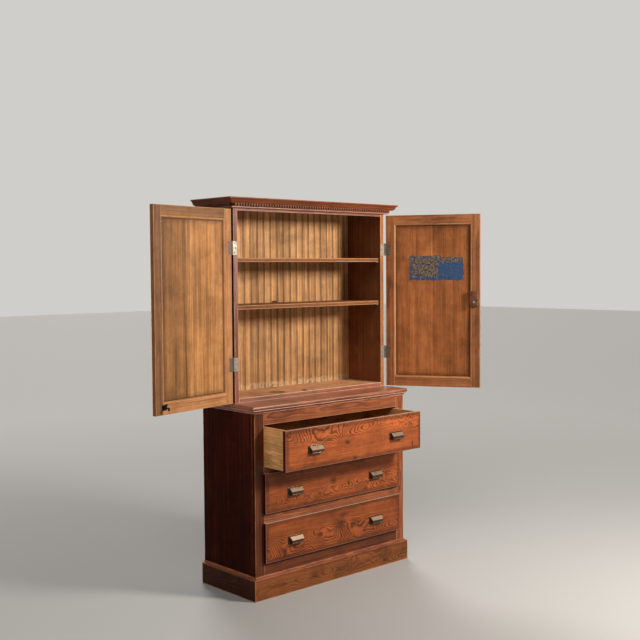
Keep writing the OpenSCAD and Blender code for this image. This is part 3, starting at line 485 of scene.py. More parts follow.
# Heights over which the back boards of the case grow paler, and over which their rubbed foot ends
BACK_PALER_UPWARDS = (1.0, 1.8)
BACK_RUBBED = (0.985, 1.004)
# Heights over which the sides grow lighter upwards, as painted light
SIDE_LIT = (0.35, 0.95)
# Middle, radius and width of each ring stain on the floor of the case, and its depth of colour
FLOOR_STAINS = [(-0.196, 0.021, 0.034, 0.034, 0.85), (-0.025, -0.015, 0.018, 0.012, 0.3)]
# Middle, half width and half height of each stain on a drawer front, and its depth of colour
FRONT_STAINS = [
    (-0.068, 0.757, 0.024, 0.016, 0.75),
    (-0.017, 0.672, 0.022, 0.013, 0.7),
    (-0.192, 0.787, 0.034, 0.012, 0.5),
    (0.418, 0.690, 0.006, 0.024, 0.75),
    (-0.023, 0.532, 0.028, 0.022, 0.65),
    (0.086, 0.505, 0.007, 0.030, 0.65),
    (-0.070, 0.463, 0.034, 0.011, 0.5),
    (0.027, 0.294, 0.058, 0.038, 0.65),
    (0.048, 0.337, 0.040, 0.020, 0.5),
    (0.130, 0.284, 0.050, 0.030, 0.5),
    (-0.123, 0.264, 0.024, 0.014, 0.6),
    (-0.290, 0.350, 0.007, 0.006, 0.8),
    (-0.242, 0.223, 0.007, 0.006, 0.8),
]
# Heights of the rows of nails in the back, the way from nail to nail, and the least way back of
# the faces that show them
NAIL_ROWS = (0.131, 0.925, 0.981, 1.973)
NAIL_PITCH = 0.073
NAILED_FROM = 0.2215
# Heights of the feet of the drawer fronts that stand closed, under which a painted shadow lies, and
# the half width of a front
LIP_FEET = [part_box(f"drawer_{row}_front")[0].z for row in ROWS[1:]]
FRONT_HALF = 0.484


def dusty_foot(n, colour, where):
    """Back boards that darken downwards, with pale rubbed wood where they meet the floor."""
    z = n.split(where)[2]
    upward_level = n.band(z, *BACK_PALER_UPWARDS, 0.8, 1.12, soft=False)
    colour = n.shaded(colour, upward_level, (1, 0.98, 0.95))
    rough_edge = n.noise(where, scale=24.0, detail=4.0)[0]
    height = n.minus(z, n.times(rough_edge, 0.05))
    foot = n.band(height, *BACK_RUBBED, 1.0, 0.0)
    speck = n.band(n.noise(where, scale=60.0, detail=5.0, roughness=0.7)[0], 0.34, 0.6)
    return n.mix(n.times(n.times(foot, speck), 0.6), colour, srgb(214, 186, 150))


def floor_stains(n, colour, where):
    """Ring stains on the floor of the case."""
    for x, y, radius, ring, most in FLOOR_STAINS:
        apart = n.vector("SUBTRACT", where, (x, y, 0))
        apart = n.vector("MULTIPLY", apart, (1.0, 1.0, 0.0))
        ripple = n.noise(where, scale=30.0, detail=3.0)[0]
        far = n.plus(n.vector("LENGTH", apart), n.times(ripple, 0.016))
        rim = n.math("ABSOLUTE", n.minus(far, radius))
        mark = n.band(rim, 0.0, ring, most, 0.0)
        colour = n.mix(mark, colour, srgb(64, 34, 18))
    return colour


def front_stains(n, colour, where):
    """Dark stains and bruises on the drawer fronts."""
    ragged = n.noise(where, scale=45.0, detail=4.0, roughness=0.65)[0]
    ragged = n.math("MULTIPLY_ADD", ragged, 1.8, -0.9)
    for x, z, wide, high, most in FRONT_STAINS:
        apart = n.vector("SUBTRACT", where, (x, 0, z))
        apart = n.vector("MULTIPLY", apart, (1 / wide, 0, 1 / high))
        far = n.plus(n.vector("LENGTH", apart), ragged)
        colour = n.mix(n.band(far, 0.1, 1.2, most, 0.0), colour, srgb(44, 20, 12))
    return colour


def nail_heads(n, colour, where):
    """Rows of sunk nail heads across the back, each with a rust halo."""
    x, y, z = n.split(where)
    along = n.math("DIVIDE", x, NAIL_PITCH)
    along = n.times(n.minus(n.math("FRACT", along), 0.5), NAIL_PITCH)
    outer = n.math("GREATER_THAN", y, NAILED_FROM)
    for row in NAIL_ROWS:
        far = n.vector("LENGTH", n.join(along, n.minus(z, row), 0.0))
        halo = n.times(n.band(far, 0.003, 0.011, 0.55, 0.0), outer)
        head = n.times(n.band(far, 0.0026, 0.0034, 1.0, 0.0), outer)
        colour = n.mix(halo, colour, srgb(58, 34, 22))
        colour = n.mix(head, colour, srgb(34, 27, 24))
    return colour


def lit_upwards(n, colour, where):
    """Painted light: sides that grow lighter and redder towards the top of the chest."""
    z = n.split(where)[2]
    painted_light = n.band(z, *SIDE_LIT, 0.85, 1.7, soft=False)
    return n.shaded(colour, painted_light, (1, 0.96, 0.92))


def lip_shadow(n, colour, where):
    """Painted shadow: a dark band on the rails just under the lips of the drawer fronts, where the
    fronts cast their shadow.
    """
    x, _, z = n.split(where)
    under_front = n.math("LESS_THAN", n.math("ABSOLUTE", x), FRONT_HALF)
    for foot in LIP_FEET:
        drop = n.minus(foot, z)
        darkening = n.times(n.band(drop, 0.004, 0.014, 0.92, 0.0), under_front)
        darkening = n.times(darkening, n.math("GREATER_THAN", drop, -0.01))
        colour = n.mix(darkening, colour, srgb(22, 10, 6))
    return colour


# Wood rubbed bare on a dark stain, and the finishes by their early wood, late wood and bare wood
RUBBED = (200, 146, 108)
FRONT = wood(
    "drawer_front_stain", (186, 97, 49), (54, 21, 8), (222, 170, 138),
    grime=(58, 26, 16), ring=3.1, pace=3.4, wander=84, curl=10, knots=0.0, contrast=0.9,
    wear=0.65, marks=0.5, mottle=0.4, varied=0.4, rim=30, extra=front_stains,
)
# The face frame's stain in two copies: the first darker as painted shade for the left stile and the
# bottom rail, the second lighter as painted light for the rails, the right stile and the moulded
# top of the plinth; both carry a painted shadow under the drawer lips
FRAME = wood(
    "face_frame_stain", (104, 54, 31), (56, 26, 13), RUBBED,
    wander=18, contrast=0.8, extra=lip_shadow,
)
RAIL = wood(
    "face_rail_stain", (158, 90, 56), (78, 38, 20), RUBBED,
    ring=4.5, pace=2, wander=40, contrast=0.7, marks=0.5, rough=0.42, extra=lip_shadow,
)
# A dark stain, darkened past its own colour as painted shade, as the sides look in shadow; it is
# used on every side and end, and grows lighter upwards as painted light
SIDE = wood(
    "side_stain", (70, 22, 9), (15, 5, 2), (118, 62, 40),
    grime=(16, 7, 5), ring=7, wander=26, knots=0.08, contrast=0.9, wear=0.45, reach=6,
    mottle=0.5, streaky=0.9, rough=0.46, shine=0.03, extra=lit_upwards,
)
PLINTH = wood(
    "plinth_stain", (140, 80, 42), (52, 24, 10), (184, 132, 92),
    ring=3, pace=2.4, wander=80, curl=6, contrast=0.75, wear=0.6, reach=8, marks=0.7,
    rough=0.46,
)
# The plinth's stain in a darker copy, painted shade for the returns that face sideways
PLINTH_SHADED_SIDE = wood(
    "plinth_side_stain", (74, 34, 18), (36, 15, 8), (150, 100, 66),
    pace=3, wander=40, contrast=0.9, wear=0.6, reach=8, marks=0.7, rough=0.46, shine=0.1,
)
LEDGE = wood(
    "ledge_stain", (166, 102, 76), (92, 47, 31), (222, 178, 150),
    pace=2, wander=20, knots=0.03, contrast=0.75, wear=0.65, marks=0.55, rough=0.34, shine=0.4,
    coat=0.15,
)
# A pale worn finish, which stands in as a painted highlight on the bed moulding under the dentils
# and on the tops of the drawer fronts
LIT_EDGE = wood(
    "handled_edge", (190, 134, 108), (112, 64, 46), (236, 200, 176),
    grime=(80, 44, 30), knots=0.0, wear=0.6, reach=4, rough=0.34, shine=0.4, coat=0.15,
)
CORNICE = wood(
    "cornice_stain", (130, 66, 35), (62, 27, 12), (206, 160, 130),
    pace=2, knots=0.03, contrast=0.75, marks=0.5, rough=0.52, shine=0.2,
)
EDGE = wood(
    "case_edge_red", (146, 88, 66), (82, 42, 29), (204, 154, 128),
    grime=(60, 30, 20), pace=2, wander=20, knots=0.03, contrast=0.7, wear=0.45, rough=0.42,
    shine=0.25,
)
AMBER = wood(
    "case_edge_amber", (186, 117, 66), (128, 76, 40), (220, 166, 116),
    wander=12, knots=0.03, contrast=0.7, wear=0.55,
)
DOOR_OUT = wood(
    "door_outside_stain", (128, 64, 36), (66, 29, 14), RUBBED,
    pace=2.5, wander=36, knots=0.1, contrast=0.85, marks=0.4,
)
LEFT_IN = wood(
    "left_door_inside", (184, 128, 82), (146, 92, 54), (212, 162, 114),
    grime=(70, 42, 24), knots=0.06, mottle=0.3, streaky=0.5, varied=0.48, rough=0.5,
)
LEFT_PANEL = wood(
    "left_panel_inside", (190, 132, 78), (140, 88, 48), (216, 166, 116),
    grime=(86, 52, 28), ring=6, wander=24, knots=0.1, contrast=0.7, wear=0.2, reach=6,
    marks=0.65, mottle=0.36, streaky=0.6, varied=0.4, rough=0.48, rim=44, bead_shadow=14,
)
RIGHT_IN = wood(
    "right_door_inside", (176, 112, 70), (124, 72, 40), (214, 160, 112),
    grime=(58, 32, 16), knots=0.06, contrast=0.65, mottle=0.3, streaky=0.5, varied=0.14,
    rough=0.5,
)
RIGHT_PANEL = wood(
    "right_panel_inside", (178, 108, 61), (118, 66, 34), (204, 146, 96),
    grime=(66, 36, 18), pace=2.5, wander=36, knots=0.2, wear=0.2, reach=6, mottle=0.42,
    streaky=0.5, varied=0.3, rough=0.46, rim=44, bead_shadow=14,
)
BEAD = wood(
    "panel_bead", (190, 130, 82), (150, 92, 54), (218, 166, 114),
    grime=(70, 42, 26), ring=4, wander=8, knots=0.0, contrast=0.5, reach=3, marks=0.5,
    rough=0.45,
)
BEADED = wood(
    "beaded_back", (212, 160, 108), (166, 112, 66), (226, 182, 134),
    grime=(46, 25, 12), wander=18, knots=0.06, contrast=0.65, wear=0.2, reach=6, marks=0.55,
    mottle=0.36, streaky=0.5, rough=0.55, deep=1.5, extra=dusty_foot,
)
INSIDE = wood(
    "case_inside", (138, 84, 48), (94, 52, 28), (204, 150, 104),
    grime=(52, 28, 15), ring=6, wander=22, knots=0.08, contrast=0.65, wear=0.65, reach=6,
    marks=0.5, rough=0.5,
)
CASE_FLOOR = wood(
    "case_floor", (218, 160, 114), (172, 116, 76), (226, 178, 134),
    grime=(84, 50, 30), ring=6, pace=3, wander=44, knots=0.2, wear=0.4, reach=8, marks=0.75,
    mottle=0.34, rough=0.55, extra=floor_stains,
)
BOX = wood(
    "drawer_box_bare", (246, 184, 118), (196, 134, 78), (246, 206, 158),
    grime=(90, 54, 28), ring=6, pace=3, wander=46, curl=6, knots=0.15, reach=4, mottle=0.4,
    streaky=0.5, rough=0.56,
)
# Bare drawer wood darkened as painted shade, for the insides of the drawers that lie in shadow
DRAWER_INSIDE_SHADE = wood(
    "drawer_inside_dusty", (116, 77, 46), (82, 52, 31), (150, 108, 72),
    grime=(44, 28, 18), ring=6, pace=3, wander=46, knots=0.1, contrast=0.5, wear=0.4, reach=4,
    mottle=0.4, streaky=0.5, rough=0.7,
)
RAW = wood(
    "raw_back", (138, 100, 68), (98, 67, 44), (164, 128, 96),
    grime=(58, 40, 28), ring=6, wander=30, knots=0.15, wear=0.4, reach=6, marks=0.3,
    streaky=0.5, varied=0.24, rough=0.7, extra=nail_heads,
)
# Metals by their body, where they are rubbed bright and where they are dark
# Bronze rubbed pale on the upward faces of the pulls, and paler there also as a painted highlight
BRONZE_TOP_LIT = metal("pull_bronze_rubbed", (158, 130, 107), (236, 214, 188), (92, 72, 57), wear=0.9)
BRONZE = metal(
    "pull_bronze", (84, 69, 58), (206, 180, 152), (44, 35, 28),
    rough=0.38, wear=0.8, patchy=0.4,
)
STEEL = metal(
    "hinge_steel", (150, 140, 127), (206, 197, 182), (100, 88, 75),
    rough=0.45, metallic=0.6, patchy=0.2,
)
# Darker steel, standing in as painted shade on the door leaves and the barrels of the hinges; the
# pins and screws share it
DULL = metal(
    "door_leaf_steel", (112, 99, 86), (164, 150, 134), (66, 55, 46),
    rough=0.48, metallic=0.6, patchy=0.3,
)
KEY_STEEL = metal(
    "key_boss_steel", (206, 198, 186), (240, 234, 224), (120, 108, 96),
    rough=0.35, wear=0.5, patchy=0.3,
)
IRON = metal(
    "catch_iron", (40, 36, 33), (112, 104, 96), (20, 18, 17),
    rough=0.5, metallic=0.8, wear=0.6,
)
RUST = metal("strike_rust", (128, 78, 48), (160, 112, 78), (78, 46, 28), rough=0.6, metallic=0.3)
LOCK = metal(
    "lock_brown", (146, 88, 60), (196, 140, 106), (56, 32, 22),
    rough=0.46, metallic=0.5, wear=0.45, patchy=0.7,
)


# Pieces from the CAD nodes


def worn_copy(node):
    """A copy that stands for a CAD node on its body, its triangles merged to whole faces."""
    mesh = NODES[node].data.copy()
    mesh.materials.clear()
    piece = new_object("worn_" + node, mesh)
    edit(piece)
    bpy.ops.mesh.select_all(action="SELECT")
    bpy.ops.mesh.remove_doubles(threshold=0.00001)
    bpy.ops.mesh.dissolve_limited(angle_limit=math.radians(0.5))
    leave()
    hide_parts(node)
    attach(piece, BODY_OF[node])
    return piece


def ease_arrises(piece, width):
    """Rounds the sharp edges of a piece, and keeps which faces did it as an attribute."""
    holding = [bpy.data.materials.new("flat"), bpy.data.materials.new("eased")]
    for material in holding:
        piece.data.materials.append(material)
    bevel(piece, width, material=1)
    mesh = piece.data
    index = read(mesh.polygons, "material_index")
    lengths = read(mesh.polygons, "loop_total")
    arris = mesh.attributes.new("arris", "FLOAT", "CORNER")
    arris.data.foreach_set("value", np.repeat(index, lengths).astype(np.float32))
    mesh.polygons.foreach_set("material_index", np.zeros_like(index))
    mesh.materials.clear()
    for material in holding:
        bpy.data.materials.remove(material)
    smooth(piece, 20)


def solids_of(mesh):
    """For each vertex, the number of the solid that it belongs to."""
    parent = list(range(len(mesh.vertices)))

    def top(i):
        while parent[i] != i:
            parent[i] = parent[parent[i]]
            i = parent[i]
        return i

    for a, b in mesh.edge_keys:
        parent[top(a)] = top(b)
    tops = [top(i) for i in range(len(parent))]
    order = {t: k for k, t in enumerate(dict.fromkeys(tops))}
    return np.array([order[t] for t in tops])


# How far along its log a board may be cut, and how far to the side of the heart, of its own width
LOG_REACH = 40
HEART_ASIDE = 0.35
# How far a board may be cut from the heart of its log, for a plain figure and for a wild one
PLAIN = (0.03, 0.09)
WILD = (0.08, 0.11)
# Which cut of the log each drawer front is, as a seed
LOTS = {
    "drawer_top_front": "front 19",
    "drawer_middle_front": "front 13",
    "drawer_bottom_front": "front 15",
}


def lay_boards(piece, node, joints, tones, heart):
    """Gives each board of a piece its own figure, place and tone, as attributes of its corners.
    joints are places across the piece, from its middle, where two boards are glued."""
    mesh = piece.data
    turn = turn_of(node)
    points = read(mesh.vertices, "co", float, 3).reshape(-1, 3)
    c, s = math.cos(turn), math.sin(turn)
    points = points @ np.array([[c, -s, 0], [s, c, 0], [0, 0, 1]])
    solid = solids_of(mesh)
    corner = read(mesh.loops, "vertex_index")
    lengths = read(mesh.polygons, "loop_total")
    face = np.repeat(np.arange(len(lengths)), lengths)
    board, place, half = (np.zeros((len(corner), 3), np.float32) for _ in range(3))
    tone = np.zeros(len(corner), np.float32)
    for k in range(solid.max() + 1):
        mine = solid[corner] == k
        own = points[solid == k]
        low, high = own.min(0), own.max(0)
        order = np.argsort(low - high, kind="stable")
        size = (high - low)[order]
        local = (points[corner[mine]] - (low + high) / 2)[:, order]
        faces = face[mine]
        middle = np.bincount(faces, local[:, 1], len(lengths))[faces] / lengths[faces]
        strip = np.zeros(mine.sum(), int)
        for joint in joints:
            strip += middle > joint
        shift = np.zeros((mine.sum(), 3))
        shade = np.zeros(mine.sum())
        for b in range(len(joints) + 1):
            pick = random.Random(LOTS.get(node, f"{node} {k} {b}"))
            deep = pick.uniform(*heart) * pick.choice((-1, 1))
            along = pick.uniform(-LOG_REACH, LOG_REACH)
            aside = pick.uniform(-HEART_ASIDE, HEART_ASIDE) * size[1]
            shift[strip == b] = (along, aside, deep)
            shade[strip == b] = pick.uniform(-1, 1) if tones is None else tones[b]
        board[mine] = local + shift
        place[mine] = local
        half[mine] = size / 2
        tone[mine] = shade
    for name, values in (("board", board), ("place", place), ("half", half)):
        made = mesh.attributes.new(name, "FLOAT_VECTOR", "CORNER")
        made.data.foreach_set("vector", values.ravel())
    mesh.attributes.new("tone", "FLOAT", "CORNER").data.foreach_set("value", tone)


def cut_across(piece, node, joints):
    """Cuts the faces of an upright panel where its boards meet."""
    turn = Matrix.Rotation(turn_of(node), 3, "Z")
    low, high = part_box(node)
    centre = (low + high) / 2
    edit(piece)
    for joint in joints:
        bpy.ops.mesh.select_all(action="SELECT")
        bpy.ops.mesh.bisect(
            plane_co=centre + turn @ Vector((joint, 0, 0)), plane_no=turn @ Vector((1, 0, 0))
        )
    leave()


def finish_faces(piece, node, base, others=()):
    """Gives a piece its finish, and other finishes to faces by their closed direction.
    others are (finish, test of the normal and the middle of a face)."""
    mesh = piece.data
    mesh.materials.append(base)
    back = Matrix.Rotation(-turn_of(node), 3, "Z")
    for k, (finish, test) in enumerate(others):
        mesh.materials.append(finish)
        for face in mesh.polygons:
            if test(back @ face.normal, face.center):
                face.material_index = k + 1


def facing(x=0, y=0, z=0, least=0.6):
    """A test for faces that look one way."""
    way = Vector((x, y, z))
    return lambda normal, middle: normal.dot(way) > least


def sideways(normal, middle):
    """Whether a face looks to the left or the right."""
    return abs(normal.x) > 0.6


def above(height):
    """A test for faces above a height."""
    return lambda normal, middle: middle.z > height


def below(height):
    """A test for faces under a height."""
    return lambda normal, middle: middle.z < height


FORWARDS, BACKWARDS = facing(y=-1), facing(y=1)
LEFTWARDS, RIGHTWARDS = facing(x=-1), facing(x=1)
UPWARDS, DOWNWARDS = facing(z=1), facing(z=-1)
RAW_BACK = (RAW, BACKWARDS)
# Heights where the flat of the plinth ends, and where the dentils begin over the bed moulding
PLINTH_FLAT = 0.099
DENTIL_FOOT = 1.956
# Each wooden node: how far its arrises are eased in mm, its finish, and finishes for some faces
WOODWORK = {
    # The moulded top of the plinth takes the lighter rail finish as a painted highlight
    "plinth_boards": (1.6, PLINTH, [(PLINTH_SHADED_SIDE, sideways), (RAIL, above(PLINTH_FLAT)), RAW_BACK]),
    "chest_side_left": (0.8, SIDE, [(RAW, RIGHTWARDS)]),
    "chest_side_right": (0.8, SIDE, [(RAW, LEFTWARDS)]),
    "chest_back_boards": (0.8, RAW, []),
    "chest_bottom": (0.8, RAW, []),
    "base_bearer": (1.0, RAW, []),
    # The left stile takes the darker face-frame finish as painted shade, and the right stile takes
    # the lighter one as painted light from the lamp on its right
    "face_stile_left": (0.9, FRAME, [(SIDE, LEFTWARDS), RAW_BACK]),
    "face_stile_right": (0.9, RAIL, [(SIDE, RIGHTWARDS), RAW_BACK]),
    "face_rail_top": (0.7, RAIL, [RAW_BACK]),
    "face_rails_between": (0.9, RAIL, [RAW_BACK]),
    "face_rail_bottom": (0.7, FRAME, [RAW_BACK]),
    "drawer_runners": (0.8, RAW, []),
    "drawer_guides": (0.8, RAW, []),
    "ledge_board": (1.2, LEDGE, [(RAW, DOWNWARDS), RAW_BACK]),
    "waist_moulding": (0.6, LEDGE, [RAW_BACK]),
    "case_side_left": (1.2, SIDE, [(INSIDE, RIGHTWARDS), (EDGE, FORWARDS), RAW_BACK]),
    "case_side_right": (1.2, SIDE, [(INSIDE, LEFTWARDS), (AMBER, FORWARDS), RAW_BACK]),
    "case_bottom": (1.2, CASE_FLOOR, [(LEDGE, FORWARDS), (RAW, DOWNWARDS)]),
    "case_top": (0.8, RAW, [(INSIDE, DOWNWARDS)]),
    "case_back_boards": (0.35, BEADED, [RAW_BACK]),
    "frieze_rail": (0.9, EDGE, [(INSIDE, BACKWARDS)]),
    # The bed moulding under the dentils takes a pale finish as a painted highlight
    "dentil_course": (0.5, CORNICE, [(LIT_EDGE, below(DENTIL_FOOT)), RAW_BACK]),
    "crown_moulding": (0.8, CORNICE, [(RAW, UPWARDS), RAW_BACK]),
    "shelf_upper": (1.2, INSIDE, []),
    "shelf_lower": (1.2, INSIDE, []),
}
for side, rail, panel in (("left", LEFT_IN, LEFT_PANEL), ("right", RIGHT_IN, RIGHT_PANEL)):
    door = "door_" + side
    for part in ("hinge_stile", "meeting_stile", "top_rail", "bottom_rail"):
        WOODWORK[f"{door}_{part}"] = (0.9, DOOR_OUT, [(rail, BACKWARDS)])
    WOODWORK[door + "_panel"] = (0.3, DOOR_OUT, [(panel, BACKWARDS)])
    WOODWORK[door + "_panel_bead"] = (0.3, BEAD, [])
WOODWORK["door_left_meeting_stile"][2].append((AMBER, RIGHTWARDS))
WOODWORK["door_right_meeting_stile"][2].append((RIGHT_IN, LEFTWARDS))
for row in ROWS:
    # The tops of the drawer fronts take a pale finish as a painted highlight, and their backs a
    # dark one as painted shade
    others = [(SIDE, sideways), (LIT_EDGE, UPWARDS), (DRAWER_INSIDE_SHADE, BACKWARDS)]
    WOODWORK[f"drawer_{row}_front"] = (1.6, FRONT, others)
    WOODWORK[f"drawer_{row}_box"] = (1.0, BOX, [])
    WOODWORK[f"drawer_{row}_bottom"] = (0.3, DRAWER_INSIDE_SHADE, [])
# Glued joints inside one solid, as places across it from its middle, and the tones of its boards
BOARDS = {
    "door_left_panel": ((-0.1175, 0.0495), (0.1, 0.28, -0.9)),
    "door_right_panel": ((0.0, 0.012), (-0.15, 0.9, 0.15)),
    "door_left_hinge_stile": ((), (0.15,)),
    "door_left_meeting_stile": ((), (-1.0,)),
    "door_left_top_rail": ((), (-0.7,)),
    "door_left_bottom_rail": ((), (0.3,)),
    # The lower drawer fronts take darker tones as painted shade, for the light falling off
    # downwards
    "drawer_top_front": ((), (0.1,)),
    "drawer_middle_front": ((), (-0.4,)),
    "drawer_bottom_front": ((), (-0.6,)),
}


def make_woodwork():
    for node, (ease, base, others) in WOODWORK.items():
        piece = worn_copy(node)
        joints, tones = BOARDS.get(node, ((), None))
        if joints:
            cut_across(piece, node, joints)
        ease_arrises(piece, ease * MM)
        lay_boards(piece, node, joints, tones, WILD if base in (FRONT, PLINTH) else PLAIN)
        finish_faces(piece, node, base, others)


# How far from the axis the barrel of a hinge reaches, and the face of the lock on the closed door
KNUCKLE_REACH = 4.8 * MM
LOCK_FACE = -0.046


def at_knuckle(normal, middle):
    """Whether a face is on the barrel of a hinge."""
    apart = [math.hypot(middle.x - axis.x, middle.y - axis.y) for axis in HINGE.values()]
    return min(apart) < KNUCKLE_REACH


def at_key(normal, middle):
    """Whether a face is on the round boss that stands out of the lock."""
    return (swung("right").inverted() @ middle).y > LOCK_FACE + 0.5 * MM


# Each metal node, as for the wooden ones
HARDWARE = {
    **{f"drawer_{row}_pulls": (0.5, BRONZE, [(BRONZE_TOP_LIT, facing(z=1, least=0.62))]) for row in ROWS},
    # The barrels and the door leaves take the darker steel as painted shade
    "hinge_case_leaves": (0.25, STEEL, [(DULL, at_knuckle)]),
    "door_left_hinge_leaves": (0.25, DULL, []),
    "door_right_hinge_leaves": (0.25, DULL, []),
    "hinge_pins": (0.3, DULL, []),
    "shelf_pegs": (0.3, STEEL, []),
    "catch_strike": (0.3, RUST, []),
    "catch_bracket": (0.3, IRON, []),
    "catch_lever": (0.5, IRON, []),
    "lock_case": (0.5, LOCK, [(KEY_STEEL, at_key)]),
    "lock_bolt": (0.5, STEEL, []),
}
# Hinges with the doors closed: their heights, the middle of a leaf from the middle of the case,
# the faces of the leaves, and each screw above the middle of its leaf and outwards from it
HINGE_HEIGHTS = (1.165, 1.747)
LEAF_MIDDLE = 0.525
DOOR_LEAF_FACE = -0.0566
CASE_LEAF_FACE = -0.0564
LEAF_SCREWS = ((-0.023, 0.004), (0.0, -0.004), (0.023, 0.004))
# Screws of the lock and the catch, on the closed doors
LOCK_SCREWS = [(x, LOCK_FACE, z) for x in (0.0175, 0.0505) for z in (1.434, 1.504)]
CATCH_SCREWS = [(x, -0.055, 1.006) for x in (-0.0645, -0.0425)]


def opened(side, places):
    """Places inside a closed door, moved to where it stands, each with the way out of the door."""
    move = swung(side)
    return [(move @ Vector(place), move.to_3x3() @ Vector((0, 1, 0))) for place in places]


def hinge_screws(side, on_door):
    """Places of the screws in one side's leaves, each with the way that it faces."""
    hand = -1 if side == "left" else 1
    face = DOOR_LEAF_FACE if on_door else CASE_LEAF_FACE
    places = [
        Vector((hand * (LEAF_MIDDLE + out), face, middle + rise))
        for middle in HINGE_HEIGHTS
        for rise, out in LEAF_SCREWS
    ]
    if on_door:
        return opened(side, places)
    return [(place, Vector((0, -1, 0))) for place in places]


def frame_at(place, way, spin=0.0):
    """A place on a face, with +Z out of the face."""
    turned = way.to_track_quat("Z", "Y").to_matrix().to_4x4()
    return Matrix.Translation(place) @ turned @ Matrix.Rotation(spin, 4, "Z")


def countersink(piece, spots):
    """Cuts a cone for a screw head at each place."""
    for place, way in spots:
        bpy.ops.mesh.primitive_cone_add(
            vertices=24, radius1=0.0024, radius2=0.0044, depth=0.0014, location=(0, 0, -0.0006)
        )
        cone = bpy.context.active_object
        settle(cone)
        cone.data.transform(frame_at(place, way))
        modify(piece, "BOOLEAN", operation="DIFFERENCE", solver="EXACT", object=cone)
        bpy.data.objects.remove(cone)


COUNTERSUNK = {
    "hinge_case_leaves": hinge_screws("left", False) + hinge_screws("right", False),
    "door_left_hinge_leaves": hinge_screws("left", True),
    "door_right_hinge_leaves": hinge_screws("right", True),
}


def make_hardware():
    for node, (ease, base, others) in HARDWARE.items():
        piece = worn_copy(node)
        countersink(piece, COUNTERSUNK.get(node, ()))
        ease_arrises(piece, ease * MM)
        modify(piece, "WEIGHTED_NORMAL", keep_sharp=True)
        finish_faces(piece, node, base, others)


def make_screw_head():
    """A slotted screw head of radius 1 with its crown at the origin, to be scaled in its copies."""
    bpy.ops.mesh.primitive_cylinder_add(vertices=20, radius=1, depth=0.6, location=(0, 0, -0.3))
    head = bpy.context.active_object
    settle(head)
    bevel(head, 0.16)
    bpy.ops.mesh.primitive_cube_add(size=1)
    slot = bpy.context.active_object
    slot.scale = (2.4, 0.26, 0.5)
    settle(slot)
    modify(head, "BOOLEAN", operation="DIFFERENCE", solver="EXACT", object=slot)
    bpy.data.objects.remove(slot)
    smooth(head, 30)
    return head


def drive_screws(name, body, head, spots, finish, radius, proud):
    """Copies of a screw head, each turned as it stopped, joined to one piece."""
    pick = random.Random(name)
    made = []
    for place, way in spots:
        copy = new_object(name, head.data.copy())
        spot = frame_at(place + way * proud, way, pick.uniform(0, math.pi))
        copy.data.transform(spot @ Matrix.Scale(radius, 4))
        made.append(copy)
    only(made[0])
    for copy in made:
        copy.select_set(True)
    bpy.ops.object.join()
    made[0].data.materials.append(finish)
    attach(made[0], body)


def make_screws():
    head = make_screw_head()
    for name, body, node in (
        ("case_hinge_screws", "cabinet", "hinge_case_leaves"),
        ("left_hinge_screws", "door_left", "door_left_hinge_leaves"),
        ("right_hinge_screws", "door_right", "door_right_hinge_leaves"),
    ):
        drive_screws(
            name, body, head, COUNTERSUNK[node], DULL, radius=0.0041, proud=-0.0002
        )
    spots = opened("right", LOCK_SCREWS)
    drive_screws("lock_screws", "door_right", head, spots, DULL, radius=0.003, proud=0.001)
    spots = opened("left", CATCH_SCREWS)
    drive_screws(
        "catch_screws", "door_left", head, spots, IRON, radius=0.0026, proud=0.0007
    )
    bpy.data.objects.remove(head)


# Middle and size of the pasted paper on the closed door, and its height and width over each other
PAPER_MIDDLE = (0.248, -0.065, 1.6415)
PAPER_SIZE = (0.317, 0.147)
PAPER_TALL = 0.46
PAPER_LONG = 2.16
# Middle and size of the dark block set in the notch of the back boards as painted shade
NOTCH_MIDDLE = (-0.0545, 0.2185, 1.462)
NOTCH_SHADE_BLOCK = (0.0328, 0.005, 0.0078)


def make_paper_finish():
    """Blue paper, faded, and rubbed through to the brown paste under it."""
    material, n, shader, _ = start_material("faded_paper")
    uv = n.add("ShaderNodeTexCoord").outputs["UV"]
    u, v, _ = n.split(uv)
    broad = n.noise(n.vector("MULTIPLY", uv, (15, 7, 1)), detail=6.0, roughness=0.72)[0]
    fine = n.noise(n.vector("MULTIPLY", uv, (40, 19, 1)), detail=4.0, roughness=0.7)[0]
    in_from_end = n.times(n.math("MINIMUM", u, n.minus(1.0, u)), PAPER_LONG)
    in_from_edge = n.math("MINIMUM", in_from_end, n.math("MINIMUM", v, n.minus(1.0, v)))
    handled = n.band(u, 0.42, 0.5)
    bald = n.times(handled, n.band(in_from_edge, 0.07, 0.2))
    bald = n.math("MAXIMUM", bald, n.band(v, 0.26, 0.36, 0.75, 0.0))
    chance = n.plus(n.times(broad, 0.6), n.times(fine, 0.4))
    rubbed = n.band(n.plus(chance, n.band(bald, 0.0, 1.0, -0.07, 0.05)), 0.46, 0.55)
    blue = n.mix(n.band(fine, 0.35, 0.65), srgb(52, 92, 140), srgb(29, 55, 94))
    paste = n.mix(n.band(fine, 0.35, 0.65), srgb(166, 140, 98), srgb(92, 74, 52))
    colour = n.mix(n.times(rubbed, 0.9), blue, paste)
    soot = n.noise(n.vector("MULTIPLY", uv, (34, 15, 1)), detail=5.0, roughness=0.65)[0]
    soot = n.times(n.band(soot, 0.47, 0.56), n.band(bald, 0.0, 1.0, 0.3, 0.85))
    colour = n.mix(soot, colour, srgb(34, 30, 30))
    n.feed(shader, Base_Color=colour, Roughness=0.8)
    return material


